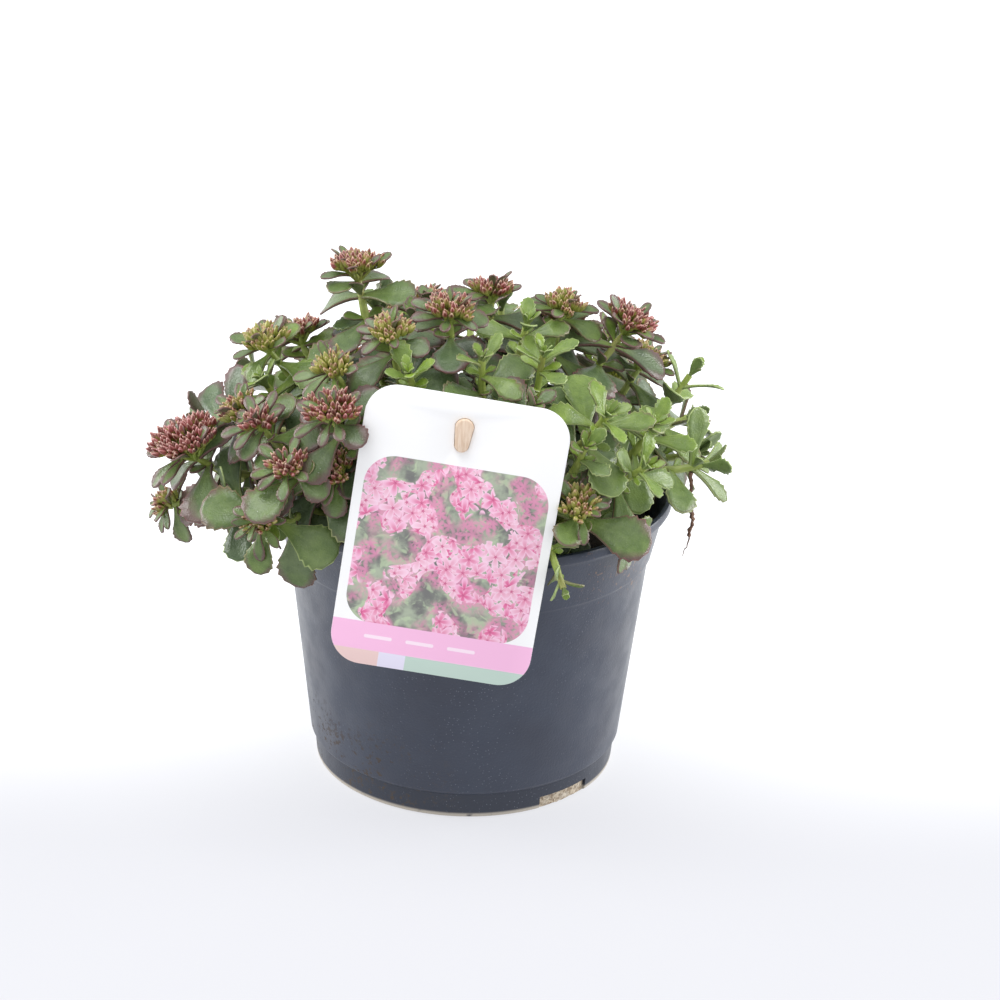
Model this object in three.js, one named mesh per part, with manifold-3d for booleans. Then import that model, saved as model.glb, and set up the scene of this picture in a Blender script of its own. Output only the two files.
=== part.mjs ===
// Potted two-row stonecrop: a mat-forming stonecrop in bud, in a round nursery pot with a label on a stick.
// Millimetres, +Z up. The origin is the middle of the pot's underside. The label faces -Y.
import * as THREE from "three";
import { ConvexGeometry } from "three/addons/geometries/ConvexGeometry.js";
import { mergeVertices } from "three/addons/utils/BufferGeometryUtils.js";
import Module from "manifold-3d";

const wasm = await Module();
wasm.setup();

// Driving sizes
const POT = { height: 95, rimR: 65, baseR: 49.7, wall: 1.3, floor: 2.2, sides: 34 };
const RIM = { lip: 3, flare: 2, edge: 0.5 };
const BAND = { bottomZ: 74, bottomR: 59.4, topR: 62.6, step: 1 }; // the collar under the rim
const FOOT = { height: 9, topR: 50.4, step: 1.2 }; // the set-in foot
const NOTCH = { azimuths: [-48, 132], width: 20, height: 4.6, depth: 6 }; // drainage notches in the foot
const DRAIN = { count: 6, radius: 4.5, ringR: 30, sides: 8 };
const SOIL = { edgeZ: 83, crown: 5, flatShare: 0.6, sides: 20 };
const LABEL = { width: 60, height: 86, corner: 9.5, thick: 0.7, leanBack: 6, turn: -7.7, at: [-5, -65, 103] };
const KEYHOLE = { wide: 2.9, narrow: 2.2, length: 5.2, belowTop: 12, left: 0.8 };
const STICK = { width: 6.5, thick: 1.6, at: [-1, -59.4, 134], above: 4, below: 54, leanForward: 3 };
const KNOB = { behind: 4, proud: 1.2 }; // reach of the stick's knob behind the label's face and before it
const STEM = { radius: 1.6, branchRadius: 1.3, branchAt: 0.1, sides: 5, steps: 5, inSoil: 6, holeR: 3.7 };
const RISE = { high: 0.45, belowZ: 125, perMm: 1 / 60, last: 0.28 }; // how straight a shoot leaves the soil
const FEET = { furthestR: 50, lowShare: 0.62, lowZ: 95, perMm: 0.0039 }; // how far out stems stand in the soil
const LEAF = {
  faceHeight: 0.45,
  backHeight: 1.15,
  rootDepth: 0.9,
  widthShare: { buds: 0.6, rosette: 0.54, spray: 0.5 },
  bend: 26,
  cup: 0.16,
  ribAt: 0.42,
  smallLength: 15.5,
  mayShare: 6,
};
const LIGHT = { outward: 0.45, front: 0.6, share: 0.9, most: 65, steepest: 45 }; // how leaves face the light
const HEAD = { buds: 19, underside: 0.6, dome: 0.55, valley: 0.28, neckR: 1.1, lowestBud: 98 };
const AIR_ROOT = { radius: 0.75, sides: 5, steps: 6, shoot: 30, at: 0.84 };
const AIR_ROOT_DROP = [
  [2.5, 2, -8],
  [0, 4, -22],
  [-1, 3, -31],
];
const GAP = 0.32; // kept between two pieces that touch
const CURVE_SIDES = 4; // a quarter of a round corner on the label and its stick
const GOLDEN_ANGLE = Math.PI * (3 - Math.sqrt(5));

// For each pair of leaves: how far below the shoot's tip it stands (mm), its share of the longest leaf's length,
// and its lift (degrees)
const PAIRS = {
  buds: [
    [1.6, 0.62, 10],
    [6, 0.94, 0],
    [14, 1, -6],
  ],
  rosette: [
    [0.8, 0.38, 66],
    [2.6, 0.6, 48],
    [6, 0.84, 28],
    [13, 1, 6],
  ],
  spray: [
    [0.8, 0.45, 64],
    [5, 0.7, 48],
    [12, 0.92, 30],
    [20, 1, 10],
  ],
};

// The plant's stems. Each branches into two shoots: what it ends in, the tip's place, then lean from upright and
// turn of the leaf pairs (degrees), longest leaf and width of the head of buds.
const shoot = (ends, x, y, z, lean, turn, leaf, head = 0) => ({ ends, tip: [x, y, z], lean, turn, leaf, head });
const FRONT_STEMS = [
  [shoot("buds", -37, 4, 161, 5, 75, 21, 17), shoot("buds", -63, -16, 143, 14, 20, 20, 15)],
  [shoot("buds", -7, -28, 158, 6, 100, 20, 14.5), shoot("rosette", -18, -50, 148, 12, 30, 17)],
  [shoot("buds", 5, -2, 157, 4, 15, 20, 14), shoot("rosette", 16, -22, 156, 6, 60, 18)],
  [shoot("buds", 27, -8, 155, 8, 0, 21, 13.5), shoot("buds", 47, -2, 148, 24, 90, 22, 17)],
  [shoot("buds", -24, -38, 155, 10, 70, 21, 13), shoot("buds", -40, -46, 146, 16, 20, 18, 13)],
  [shoot("buds", -39, -59, 136, 18, 80, 20, 16), shoot("buds", -38, -56, 118, 36, 10, 22, 13)],
  [shoot("rosette", -64, -22, 135, 20, 10, 20), shoot("buds", -69, -34, 128, 28, 60, 19, 12)],
  [shoot("buds", -62, -47, 129, 24, 30, 20, 11), shoot("buds", -52, -61, 121, 28, 85, 23, 12)],
  [shoot("buds", -84, -34, 114, 24, 152, 24, 23), shoot("buds", -94, -20, 92, 52, 20, 20, 10)],
  [shoot("buds", -60, -61, 104, 46, 0, 23, 12), shoot("rosette", -74, -46, 103, 66, 60, 22)],
  [shoot("rosette", 3, -44, 151, 8, 50, 18), shoot("rosette", 18, -55, 141, 18, 10, 18)],
  [shoot("rosette", 21, -38, 151, 8, 0, 20), shoot("rosette", 40, -48, 136, 14, 75, 22)],
  [shoot("rosette", 34, -56, 129, 20, 20, 17), shoot("rosette", 52, -50, 121, 24, 65, 20)],
  [shoot("buds", 33, -60, 110, 22, 140, 24, 14), shoot("rosette", 48, -54, 100, 62, 48, 22)],
  [shoot("rosette", 55, -35, 129, 16, 35, 20), shoot("rosette", 75, -15, 110, 44, 0, 22)],
  [shoot("spray", 69, 8, 131, 18, 65, 20), shoot("rosette", 73, 8, 104, 50, 20, 20)],
  [shoot("rosette", -12, -59, 116, 36, 60, 20), shoot("rosette", -26, -60, 106, 50, 0, 20)],
  [shoot("rosette", -19, -9, 152, 6, 40, 21), shoot("rosette", -15, 17, 149, 6, 80, 21)],
  [shoot("rosette", 12, -59, 113, 34, 30, 20), shoot("rosette", 29, -70, 90, 150, 20, 12)],
];
// The far side is filled in by three tiers of shoots on the same dome
const FAR_TIERS = {
  low: { count: 7, from: 22, to: 172, radius: 79, z: 112, lean: 34, leaf: 23 },
  middle: { count: 7, from: 12, to: 164, radius: 56, z: 131, lean: 24, leaf: 21 },
  top: { count: 4, from: 20, to: 160, radius: 32, z: 147, lean: 10, leaf: 20 },
};
const HEAD_WIDTHS = [16, 13, 15, 18];

const rad = THREE.MathUtils.degToRad;
const vec = (x, y, z) => new THREE.Vector3(x, y, z);

// A fixed value from -1 to 1 for each trio of whole numbers
function vary(a, b, c) {
  const s = Math.sin(a * 12.9898 + b * 78.233 + c * 37.719) * 43758.5453;
  return 2 * (s - Math.floor(s)) - 1;
}

function farShoot(tier, index, ends) {
  const { count, from, to, radius, z, lean, leaf } = FAR_TIERS[tier];
  const azimuth = rad(from + ((to - from) * index) / (count - 1));
  const r = radius * (1 + 0.08 * vary(index, radius, 1));
  return shoot(
    ends,
    Math.round(r * Math.cos(azimuth)) - 4,
    Math.round(r * Math.sin(azimuth)),
    Math.round(z + 6 * vary(index, radius, 2)),
    lean,
    Math.round(45 + 45 * vary(index, radius, 3)),
    leaf,
    ends === "buds" ? HEAD_WIDTHS[index % HEAD_WIDTHS.length] : 0,
  );
}

function farStems() {
  const stems = [];
  for (let i = 0; i < FAR_TIERS.low.count; i++)
    stems.push([
      farShoot("middle", i, i % 2 ? "rosette" : "buds"),
      farShoot("low", i, i % 3 === 1 ? "buds" : "rosette"),
    ]);
  for (let i = 0; i < FAR_TIERS.top.count; i += 2)
    stems.push([farShoot("top", i, "buds"), farShoot("top", i + 1, "rosette")]);
  return stems;
}

const solidFrom = (vertices, triangles) =>
  new wasm.Manifold(
    new wasm.Mesh({
      numProp: 3,
      vertProperties: new Float32Array(vertices.flatMap((v) => [v.x, v.y, v.z])),
      triVerts: new Uint32Array(triangles.flat()),
    }),
  );

function solidOf(geometry) {
  const bare = geometry.clone();
  bare.deleteAttribute("normal");
  bare.deleteAttribute("uv");
  const merged = mergeVertices(bare, 1e-4);
  return new wasm.Manifold(
    new wasm.Mesh({
      numProp: 3,
      vertProperties: merged.attributes.position.array,
      triVerts: new Uint32Array(merged.index.array),
    }),
  );
}

function geometryOf(solid) {
  const mesh = solid.getMesh();
  const geometry = new THREE.BufferGeometry();
  geometry.setAttribute("position", new THREE.BufferAttribute(mesh.vertProperties, 3));
  geometry.setIndex(new THREE.BufferAttribute(mesh.triVerts, 1));
  return geometry;
}

// What counts as a short edge, a face of no size, a face folded over and a sliver
const JOINING = { shortest: 0.85, flat: 0.004, fold: 0.3, sliver: 0.01 };

// Joining leaves to a stem leaves short edges where they cross. This draws each of those edges together into
// one corner, shortest first, wherever the surface stays closed and no face turns over. Then it turns the long
// edge of each sliver of a face that is left.
function withoutShortEdges(geometry) {
  const { position } = geometry.attributes;
  const points = [];
  for (let i = 0; i < position.count; i++) points.push(vec(0, 0, 0).fromBufferAttribute(position, i));
  const faces = [];
  for (let i = 0; i < geometry.index.count; i += 3)
    faces.push([0, 1, 2].map((k) => geometry.index.getX(i + k)));
  const around = points.map(() => new Set());
  faces.forEach((face) => face.forEach((corner) => around[corner].add(face)));

  const neighbours = (corner) => new Set([...around[corner]].flat().filter((other) => other !== corner));
  const normal = (face, moved, to) => {
    const [a, b, c] = face.map((corner) => points[corner === moved ? to : corner]);
    return b.clone().sub(a).cross(c.clone().sub(a));
  };
  const canJoin = (from, to) => {
    const ring = neighbours(to);
    if ([...neighbours(from)].filter((corner) => ring.has(corner)).length !== 2) return false;
    return [...around[from]].every((face) => {
      if (face.includes(to)) return true;
      const before = normal(face);
      const after = normal(face, from, to);
      const isFlat = before.length() < JOINING.flat;
      return (
        isFlat ||
        (after.length() > JOINING.flat && after.normalize().dot(before.normalize()) > JOINING.fold)
      );
    });
  };
  const join = (from, to) => {
    for (const face of [...around[from]])
      if (face.includes(to)) face.forEach((corner) => around[corner].delete(face));
      else {
        face[face.indexOf(from)] = to;
        around[to].add(face);
      }
    around[from].clear();
  };

  let edges;
  do {
    edges = [];
    around.forEach((own, a) => {
      if (own.size)
        for (const b of neighbours(a)) {
          const length = points[a].distanceTo(points[b]);
          if (length < JOINING.shortest && canJoin(a, b)) edges.push({ a, b, length });
        }
    });
    edges.sort((one, other) => one.length - other.length);
    for (const { a, b } of edges) if (around[a].size && neighbours(a).has(b) && canJoin(a, b)) join(a, b);
  } while (edges.length);

  const spans = (face) => [0, 1, 2].map((k) => points[face[k]].distanceTo(points[face[(k + 1) % 3]]));
  const isSliver = (face) => normal(face).length() / Math.max(...spans(face)) < JOINING.sliver;
  const turnLongEdge = (face) => {
    const k = spans(face).indexOf(Math.max(...spans(face)));
    const [a, b, c] = [0, 1, 2].map((step) => face[(k + step) % 3]);
    const other = [...around[a]].find((f) => f !== face && f.includes(b));
    const d = other.find((corner) => corner !== a && corner !== b);
    if (neighbours(c).has(d)) return;
    face.splice(0, 3, a, d, c);
    other.splice(0, 3, d, b, c);
    around[b].delete(face);
    around[a].delete(other);
    around[d].add(face);
    around[c].add(other);
  };
  const left = new Set(around.flatMap((own) => [...own]));
  left.forEach((face) => isSliver(face) && turnLongEdge(face));
  const corners = [...left].flat().map((corner) => points[corner]);
  return mergeVertices(new THREE.BufferGeometry().setFromPoints(corners), 1e-5);
}

const finish = (color, roughness) =>
  new THREE.MeshStandardMaterial({ color, roughness, metalness: 0, flatShading: true });
const MATERIALS = {
  pot: finish(0x3b434e, 0.45),
  soil: finish(0x33261c, 0.95),
  label: finish(0xf3c3dc, 0.4),
  stick: finish(0xd9b48f, 0.7),
  foliage: finish(0x5a8a3c, 0.5),
  buds: finish(0x9a4a48, 0.6),
  root: finish(0x4a2c1c, 0.9),
};

const plant = new THREE.Group();
function add(name, geometry, material, at = vec(0, 0, 0)) {
  geometry.computeVertexNormals();
  const mesh = new THREE.Mesh(geometry, material);
  mesh.name = name;
  mesh.position.copy(at);
  plant.add(mesh);
  return mesh;
}

// A turned shape from its profile of radius and height
function turned(profile, sides) {
  const lathe = new THREE.LatheGeometry(
    profile.map(([r, z]) => new THREE.Vector2(r, z)),
    sides,
  );
  return lathe.rotateX(Math.PI / 2);
}

// The inside of the pot's tapered wall, below the band
function potInnerR(z) {
  const [footZ, footR] = [FOOT.height + BAND.step, FOOT.topR + FOOT.step];
  const share = (z - footZ) / (BAND.bottomZ - footZ);
  return footR + (BAND.bottomR - BAND.step - footR) * share - POT.wall;
}

function potSolid() {
  const { height, rimR, baseR, wall, floor, sides } = POT;
  const { lip, flare, edge } = RIM;
  const footZ = FOOT.height + BAND.step;
  const profile = [
    [0, 0],
    [baseR, 0],
    [FOOT.topR, FOOT.height],
    [FOOT.topR + FOOT.step, footZ],
    [BAND.bottomR - BAND.step, BAND.bottomZ],
    [BAND.bottomR, BAND.bottomZ + BAND.step],
    [BAND.topR, height - lip - flare],
    [rimR, height - lip],
    [rimR, height - edge],
    [rimR - edge, height],
    [rimR - edge - wall, height],
    [BAND.topR - wall, height - lip - flare + edge],
    [BAND.bottomR - wall, BAND.bottomZ + BAND.step],
    [potInnerR(BAND.bottomZ), BAND.bottomZ],
    [potInnerR(footZ), footZ],
    [baseR - wall, floor],
    [0, floor],
  ];
  let pot = solidOf(turned(profile, sides));
  for (const azimuth of NOTCH.azimuths) {
    const cutter = new THREE.BoxGeometry(NOTCH.depth * 2, NOTCH.width, NOTCH.height * 2);
    cutter.translate(baseR, 0, 0).rotateZ(rad(azimuth));
    pot = pot.subtract(solidOf(cutter));
  }
  for (let i = 0; i < DRAIN.count; i++) {
    const { radius } = DRAIN;
    const drill = new THREE.CylinderGeometry(radius, radius, floor * 4, DRAIN.sides).rotateX(Math.PI / 2);
    drill.translate(DRAIN.ringR, 0, 0).rotateZ((2 * Math.PI * i) / DRAIN.count);
    pot = pot.subtract(solidOf(drill));
  }
  return pot;
}

// The root ball, crowned a little on top, with a plain hole for each stem and a slot for the stick
function soilSolid(stemFeet) {
  const bandZ = BAND.bottomZ + BAND.step;
  const footZ = FOOT.height + BAND.step;
  const edgeR = potInnerR(SOIL.edgeZ) - GAP;
  const profile = [
    [0, POT.floor + GAP],
    [POT.baseR - POT.wall - GAP, POT.floor + GAP],
    [potInnerR(footZ) - GAP, footZ + GAP],
    [potInnerR(BAND.bottomZ) - GAP, BAND.bottomZ + GAP],
    [BAND.bottomR - POT.wall - GAP, bandZ + GAP],
    [edgeR, SOIL.edgeZ],
    [edgeR * SOIL.flatShare, SOIL.edgeZ + SOIL.crown * 0.8],
    [0, SOIL.edgeZ + SOIL.crown],
  ];
  let soil = solidOf(turned(profile, SOIL.sides));
  const depth = 4 * STEM.inSoil;
  for (const foot of stemFeet) {
    const drill = new THREE.CylinderGeometry(STEM.holeR, STEM.holeR, depth, STEM.sides).rotateX(Math.PI / 2);
    drill.translate(foot.x, foot.y, foot.z + depth / 2 - GAP);
    soil = soil.subtract(solidOf(drill));
  }
  const slot = new THREE.BoxGeometry(STICK.width + 3 * GAP, STICK.thick + 3 * GAP, STICK.below);
  slot.translate(0, 0, -STICK.below / 2 - 2 * GAP).rotateX(rad(STICK.leanForward)).translate(...STICK.at);
  return soil.subtract(solidOf(slot));
}

function labelShape() {
  const { width, height, corner } = LABEL;
  const [x, y] = [width / 2 - corner, height / 2 - corner];
  const shape = new THREE.Shape();
  shape.absarc(x, y, corner, 0, Math.PI / 2);
  shape.absarc(-x, y, corner, Math.PI / 2, Math.PI);
  shape.absarc(-x, -y, corner, Math.PI, Math.PI * 1.5);
  shape.absarc(x, -y, corner, Math.PI * 1.5, Math.PI * 2);
  return shape;
}

// A plate of even thickness, standing on the plane of its outline
const plate = (shape, depth) =>
  new THREE.ExtrudeGeometry(shape, { depth, bevelEnabled: false, curveSegments: CURVE_SIDES });

// The egg-shaped hole in the label as a plate, grown all round by a margin
function keyholePlate(margin, depth) {
  const { wide, narrow, length } = KEYHOLE;
  const shape = new THREE.Shape();
  shape.absarc(0, length / 2, wide + margin, 0, Math.PI);
  shape.absarc(0, -length / 2, narrow + margin, Math.PI, Math.PI * 2);
  return plate(shape, depth).translate(keyholeAt.x, keyholeAt.y, LABEL.thick - KNOB.behind);
}

const labelTurn = new THREE.Euler(rad(90 - LABEL.leanBack), 0, rad(LABEL.turn));
const keyholeAt = vec(-KEYHOLE.left, LABEL.height / 2 - KEYHOLE.belowTop, 0);

function labelSolid() {
  const punch = keyholePlate(0, 2 * KNOB.behind);
  return solidOf(plate(labelShape(), LABEL.thick)).subtract(solidOf(punch));
}

// The flat stick stands in the soil behind the label, and its knob carries the label by the keyhole
function stickSolid() {
  const { width, thick, above, below, leanForward, at } = STICK;
  const shaft = new THREE.BoxGeometry(width, thick, above + below);
  shaft.translate(0, 0, (above - below) / 2).rotateX(rad(leanForward));
  shaft.translate(...at);
  const knob = keyholePlate(-GAP, KNOB.behind + KNOB.proud);
  knob.applyMatrix4(new THREE.Matrix4().makeRotationFromEuler(labelTurn)).translate(...LABEL.at);
  return solidOf(shaft).add(solidOf(knob));
}

// Where a stem stands in the soil: low shoots come from nearer the rim
function stemFoot(shoots) {
  const middle = vec(0, 0, 0);
  for (const s of shoots) middle.add(vec(...s.tip).divideScalar(shoots.length));
  const share = FEET.lowShare - FEET.perMm * (middle.z - FEET.lowZ);
  const foot = vec(middle.x * share, middle.y * share, 0).clampLength(0, FEET.furthestR);
  const slope = (SOIL.crown * foot.length()) / potInnerR(SOIL.edgeZ);
  return foot.setZ(SOIL.edgeZ + SOIL.crown - slope - STEM.inSoil);
}

// A shoot rises from the soil and then leans out. A low one rises more steeply, to pass over the rim.
function shootCurve(s, foot) {
  const tip = vec(...s.tip);
  const rise = RISE.high + Math.max(0, RISE.belowZ - tip.z) * RISE.perMm;
  const heading = Math.atan2(tip.y - foot.y, tip.x - foot.x);
  const lean = rad(s.lean);
  const along = vec(Math.sin(lean) * Math.cos(heading), Math.sin(lean) * Math.sin(heading), Math.cos(lean));
  const reach = tip.distanceTo(foot);
  const curve = new THREE.CubicBezierCurve3(
    foot,
    foot.clone().add(vec(0, 0, rise * reach)),
    tip.clone().addScaledVector(along, -RISE.last * reach),
    tip,
  );
  return { curve, joints: curve.getSpacedPoints(STEM.steps).reverse(), along, heading, tip };
}

// The point and direction on a shoot's stem at a distance below its tip. It is straight between its joints.
function onStem(path, below) {
  let left = below;
  for (let i = 0; i + 1 < path.joints.length; i++) {
    const [upper, lower] = [path.joints[i], path.joints[i + 1]];
    const span = upper.distanceTo(lower);
    if (left < span || i + 2 === path.joints.length)
      return { at: upper.clone().lerp(lower, left / span), axis: upper.clone().sub(lower).normalize() };
    left -= span;
  }
}

// A tube of few sides along a curve
function tubeSolid(curve, { radius, sides, steps }) {
  const section = new THREE.Shape();
  for (let i = 0; i < sides; i++) {
    const a = (2 * Math.PI * i) / sides;
    const [x, y] = [radius * Math.cos(a), radius * Math.sin(a)];
    if (i) section.lineTo(x, y);
    else section.moveTo(x, y);
  }
  return solidOf(new THREE.ExtrudeGeometry(section, { steps, extrudePath: curve }));
}

// A thin root hangs down outside the pot from the underside of one low shoot
function airRootSolid(path) {
  const top = path.curve.getPoint(AIR_ROOT.at);
  top.z -= STEM.branchRadius + 1.5 * GAP;
  const route = new THREE.CatmullRomCurve3([top, ...AIR_ROOT_DROP.map((step) => vec(...step).add(top))]);
  return tubeSolid(route, AIR_ROOT);
}

// One leaf's outline as shares of its length and half width, between the pointed root and the tip
const OUTLINES = {
  large: [
    [0.3, 0.4],
    [0.64, 0.96],
    [0.8, 0.96],
    [0.84, 0.72],
  ],
  small: [
    [0.55, 0.96],
    [0.86, 0.74],
  ],
};

// A leaf stands on a stem with its root sunk in. It arches back over its length and is dished across.
// The place of a point is given by its share of the length, its side and share of the half width, and its height.
function leafPlace(leaf, margin) {
  const { at, out, up, width, bend } = leaf;
  const length = leaf.length + margin;
  const side = up.clone().cross(out);
  const radius = length / bend;
  return (t, s, share, h) => {
    const a = bend * t;
    const normal = out.clone().multiplyScalar(Math.sin(a)).addScaledVector(up, Math.cos(a));
    const half = (share * width) / 2;
    return at
      .clone()
      .addScaledVector(out, radius * Math.sin(a))
      .addScaledVector(up, -radius * (1 - Math.cos(a)))
      .addScaledVector(side, s * (half + margin))
      .addScaledVector(normal, LEAF.cup * half * share + h);
  };
}

// The solid of one leaf, or of the room that it needs when it has a margin
function leafSolid(leaf, margin = 0) {
  const outline = OUTLINES[leaf.length < LEAF.smallLength ? "small" : "large"];
  const place = leafPlace(leaf, margin);
  const vertices = [];
  const put = (...where) => vertices.push(place(...where)) - 1;
  const root = put(-LEAF.rootDepth / leaf.length, 0, 0, 0);
  const tip = put(1, 0, 0, 0);
  const face = put(LEAF.ribAt, 0, 0, LEAF.faceHeight + margin);
  const back = put(LEAF.ribAt, 0, 0, -LEAF.backHeight - margin);
  const triangles = [];
  for (const s of [1, -1]) {
    const edge = [root, ...outline.map(([t, share]) => put(t, s, share, 0)), tip];
    for (let i = 0; i + 1 < edge.length; i++) {
      const [near, far] = s > 0 ? [edge[i], edge[i + 1]] : [edge[i + 1], edge[i]];
      triangles.push([face, far, near], [back, near, far]);
    }
  }
  return solidFrom(vertices, triangles);
}

// The ways a leaf may bend clear of its neighbours, least change first
const BENDS = [];
for (const scale of [1, 0.8])
  for (const turn of [0, 15, -15, 30, -30])
    for (const lift of [0, 12, -12, 24, -24, 36]) BENDS.push({ scale, turn, lift });

// The direction of a leaf's face once the leaf has turned on its base towards the light, as far as it goes
function turnedToLight(at, out, up) {
  const light = vec(at.x, at.y, 0).multiplyScalar(LIGHT.outward / POT.rimR);
  light.add(vec(0, -LIGHT.front, 1));
  light.addScaledVector(out, -light.dot(out)).normalize();
  const angle = Math.atan2(up.clone().cross(light).dot(out), up.dot(light)) * LIGHT.share;
  const most = rad(LIGHT.most);
  return up.applyAxisAngle(out, THREE.MathUtils.clamp(angle, -most, most));
}

// One leaf of a pair on a shoot, bent clear in one of the ways above
function leafOn(s, path, number, pair, sideOfPair, bent) {
  const [below, share, lift] = PAIRS[s.ends][pair];
  const { at, axis } = onStem(path, below);
  const across = vec(-Math.sin(path.heading), Math.cos(path.heading), 0);
  across.addScaledVector(axis, -across.dot(axis)).normalize();
  const outward = across.clone().cross(axis);
  const which = pair * 2 + sideOfPair;
  const azimuth = rad(s.turn + 90 * pair + 180 * sideOfPair + 10 * vary(number, which, 4) + bent.turn);
  const radial = outward.multiplyScalar(Math.cos(azimuth)).addScaledVector(across, Math.sin(azimuth));
  const rise = rad(lift + 9 * vary(number, which, 5) + bent.lift);
  const length = s.leaf * share * (1 + 0.1 * vary(number, which, 6)) * bent.scale;
  const out = radial.clone().multiplyScalar(Math.cos(rise)).addScaledVector(axis, Math.sin(rise));
  const up = axis.clone().multiplyScalar(Math.cos(rise)).addScaledVector(radial, -Math.sin(rise));
  return {
    at,
    out,
    up: lift < LIGHT.steepest ? turnedToLight(at, out, up) : up,
    length,
    width: length * LEAF.widthShare[s.ends] * (1 + 0.12 * vary(number, which, 7)),
    bend: rad(LEAF.bend * (1 + 0.7 * vary(number, which, 8))),
  };
}

// A domed head: the tip of each bud on a golden-angle spiral, with a valley between every three
function headGeometry(width, number) {
  const r = width / 2;
  const middle = vec(0, 0, HEAD.underside * r);
  const tips = [];
  for (let i = 0; i < HEAD.buds; i++) {
    const polar = rad(HEAD.lowestBud) * Math.sqrt((i + 0.4) / HEAD.buds);
    const azimuth = i * GOLDEN_ANGLE + number;
    const reach = r * (1 + 0.07 * vary(number, i, 9));
    tips.push(
      vec(
        reach * Math.sin(polar) * Math.cos(azimuth),
        reach * Math.sin(polar) * Math.sin(azimuth),
        middle.z + reach * HEAD.dome * Math.cos(polar),
      ),
    );
  }
  const neck = [];
  for (let i = 0; i < STEM.sides; i++) {
    const a = (2 * Math.PI * i) / STEM.sides;
    neck.push(vec(HEAD.neckR * Math.cos(a), HEAD.neckR * Math.sin(a), GAP));
  }
  const hull = new ConvexGeometry([...tips, ...neck]).getAttribute("position");
  const points = [];
  for (let i = 0; i < hull.count; i += 3) {
    const corners = [0, 1, 2].map((k) => new THREE.Vector3().fromBufferAttribute(hull, i + k));
    if (corners.some((p) => p.z < GAP * 1.5)) {
      points.push(...corners);
      continue;
    }
    const valley = corners[0].clone().add(corners[1]).add(corners[2]).divideScalar(3);
    valley.lerp(middle, HEAD.valley);
    for (let k = 0; k < 3; k++) points.push(corners[k], corners[(k + 1) % 3], valley);
  }
  return mergeVertices(new THREE.BufferGeometry().setFromPoints(points), 1e-4);
}

// What a leaf has to stay clear of: every solid placed so far, with its box and its shoot
const placed = [];
function boxOf(solid) {
  const { min, max } = solid.boundingBox();
  return new THREE.Box3(vec(...min), vec(...max));
}
function keep(solid, owner) {
  placed.push({ solid, owner, box: boxOf(solid) });
}

// Leaves of one shoot may touch a little near the stem; all else stays apart
function isClear(leaf, owner) {
  const room = leafSolid(leaf, GAP);
  const box = boxOf(room);
  return !placed.some((p) => {
    if (!p.box.intersectsBox(box)) return false;
    const shared = p.solid.intersect(room).volume();
    return p.owner === owner ? shared > LEAF.mayShare : shared > 0;
  });
}

const stems = [...FRONT_STEMS, ...farStems()];
const feet = stems.map(stemFoot);
const label = labelSolid();
const stick = stickSolid();
const pot = potSolid();
const soil = soilSolid(feet);

const labelMesh = add("label", geometryOf(label), MATERIALS.label, vec(...LABEL.at));
labelMesh.rotation.copy(labelTurn);
labelMesh.updateMatrixWorld();
add("pot", geometryOf(pot), MATERIALS.pot);
add("soil", geometryOf(soil), MATERIALS.soil);
add("label_stick", geometryOf(stick), MATERIALS.stick);
keep(pot, "pot");
keep(soil, "soil");
keep(solidOf(labelMesh.geometry.clone().applyMatrix4(labelMesh.matrixWorld)), "label");
keep(stick, "stick");

// Stems and heads come first, because they stay where they are; the leaves then bend clear of them
const shoots = [];
stems.forEach((branches, stem) => {
  let main;
  for (const s of branches) {
    const number = shoots.length + 1;
    const path = shootCurve(s, main ? main.curve.getPoint(STEM.branchAt) : feet[stem]);
    const solid = tubeSolid(path.curve, main ? { ...STEM, radius: STEM.branchRadius } : STEM);
    main ??= path;
    keep(solid, `shoot ${number}`);
    shoots.push({ s, number, stem, path, solids: [solid] });
    if (!s.head) continue;
    const name = `bud_head_${String(number).padStart(2, "0")}`;
    const head = add(name, headGeometry(s.head, number), MATERIALS.buds, path.tip);
    head.quaternion.setFromUnitVectors(vec(0, 0, 1), path.along);
    head.updateMatrixWorld();
    keep(solidOf(head.geometry.clone().applyMatrix4(head.matrixWorld)), name);
  }
});

const airRoot = airRootSolid(shoots[AIR_ROOT.shoot - 1].path);
add("air_root", geometryOf(airRoot), MATERIALS.root);
keep(airRoot, "air root");

for (const { s, number, path, solids } of shoots)
  for (let pair = 0; pair < PAIRS[s.ends].length; pair++)
    for (const sideOfPair of [0, 1]) {
      const owner = `shoot ${number}`;
      const bent = BENDS.find((b) => isClear(leafOn(s, path, number, pair, sideOfPair, b), owner));
      if (!bent) continue;
      const solid = leafSolid(leafOn(s, path, number, pair, sideOfPair, bent));
      keep(solid, owner);
      solids.push(solid);
    }

stems.forEach((branches, stem) => {
  const own = shoots.filter((x) => x.stem === stem).flatMap((x) => x.solids);
  const body = own.reduce((joined, solid) => joined.add(solid));
  const foliage = withoutShortEdges(geometryOf(body));
  foliage.translate(...feet[stem].clone().negate().toArray());
  add(`leafy_stem_${String(stem + 1).padStart(2, "0")}`, foliage, MATERIALS.foliage, feet[stem]);
});

export default plant;
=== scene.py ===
"""Looks for a potted two-row stonecrop in bud, in a round nursery pot with a picture label on a stick."""

from contextlib import contextmanager
from math import atan2, cos, floor, hypot, pi, radians, sin, sqrt

import bpy
import numpy as np
from mathutils import Matrix, Vector
from mathutils.kdtree import KDTree


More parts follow.
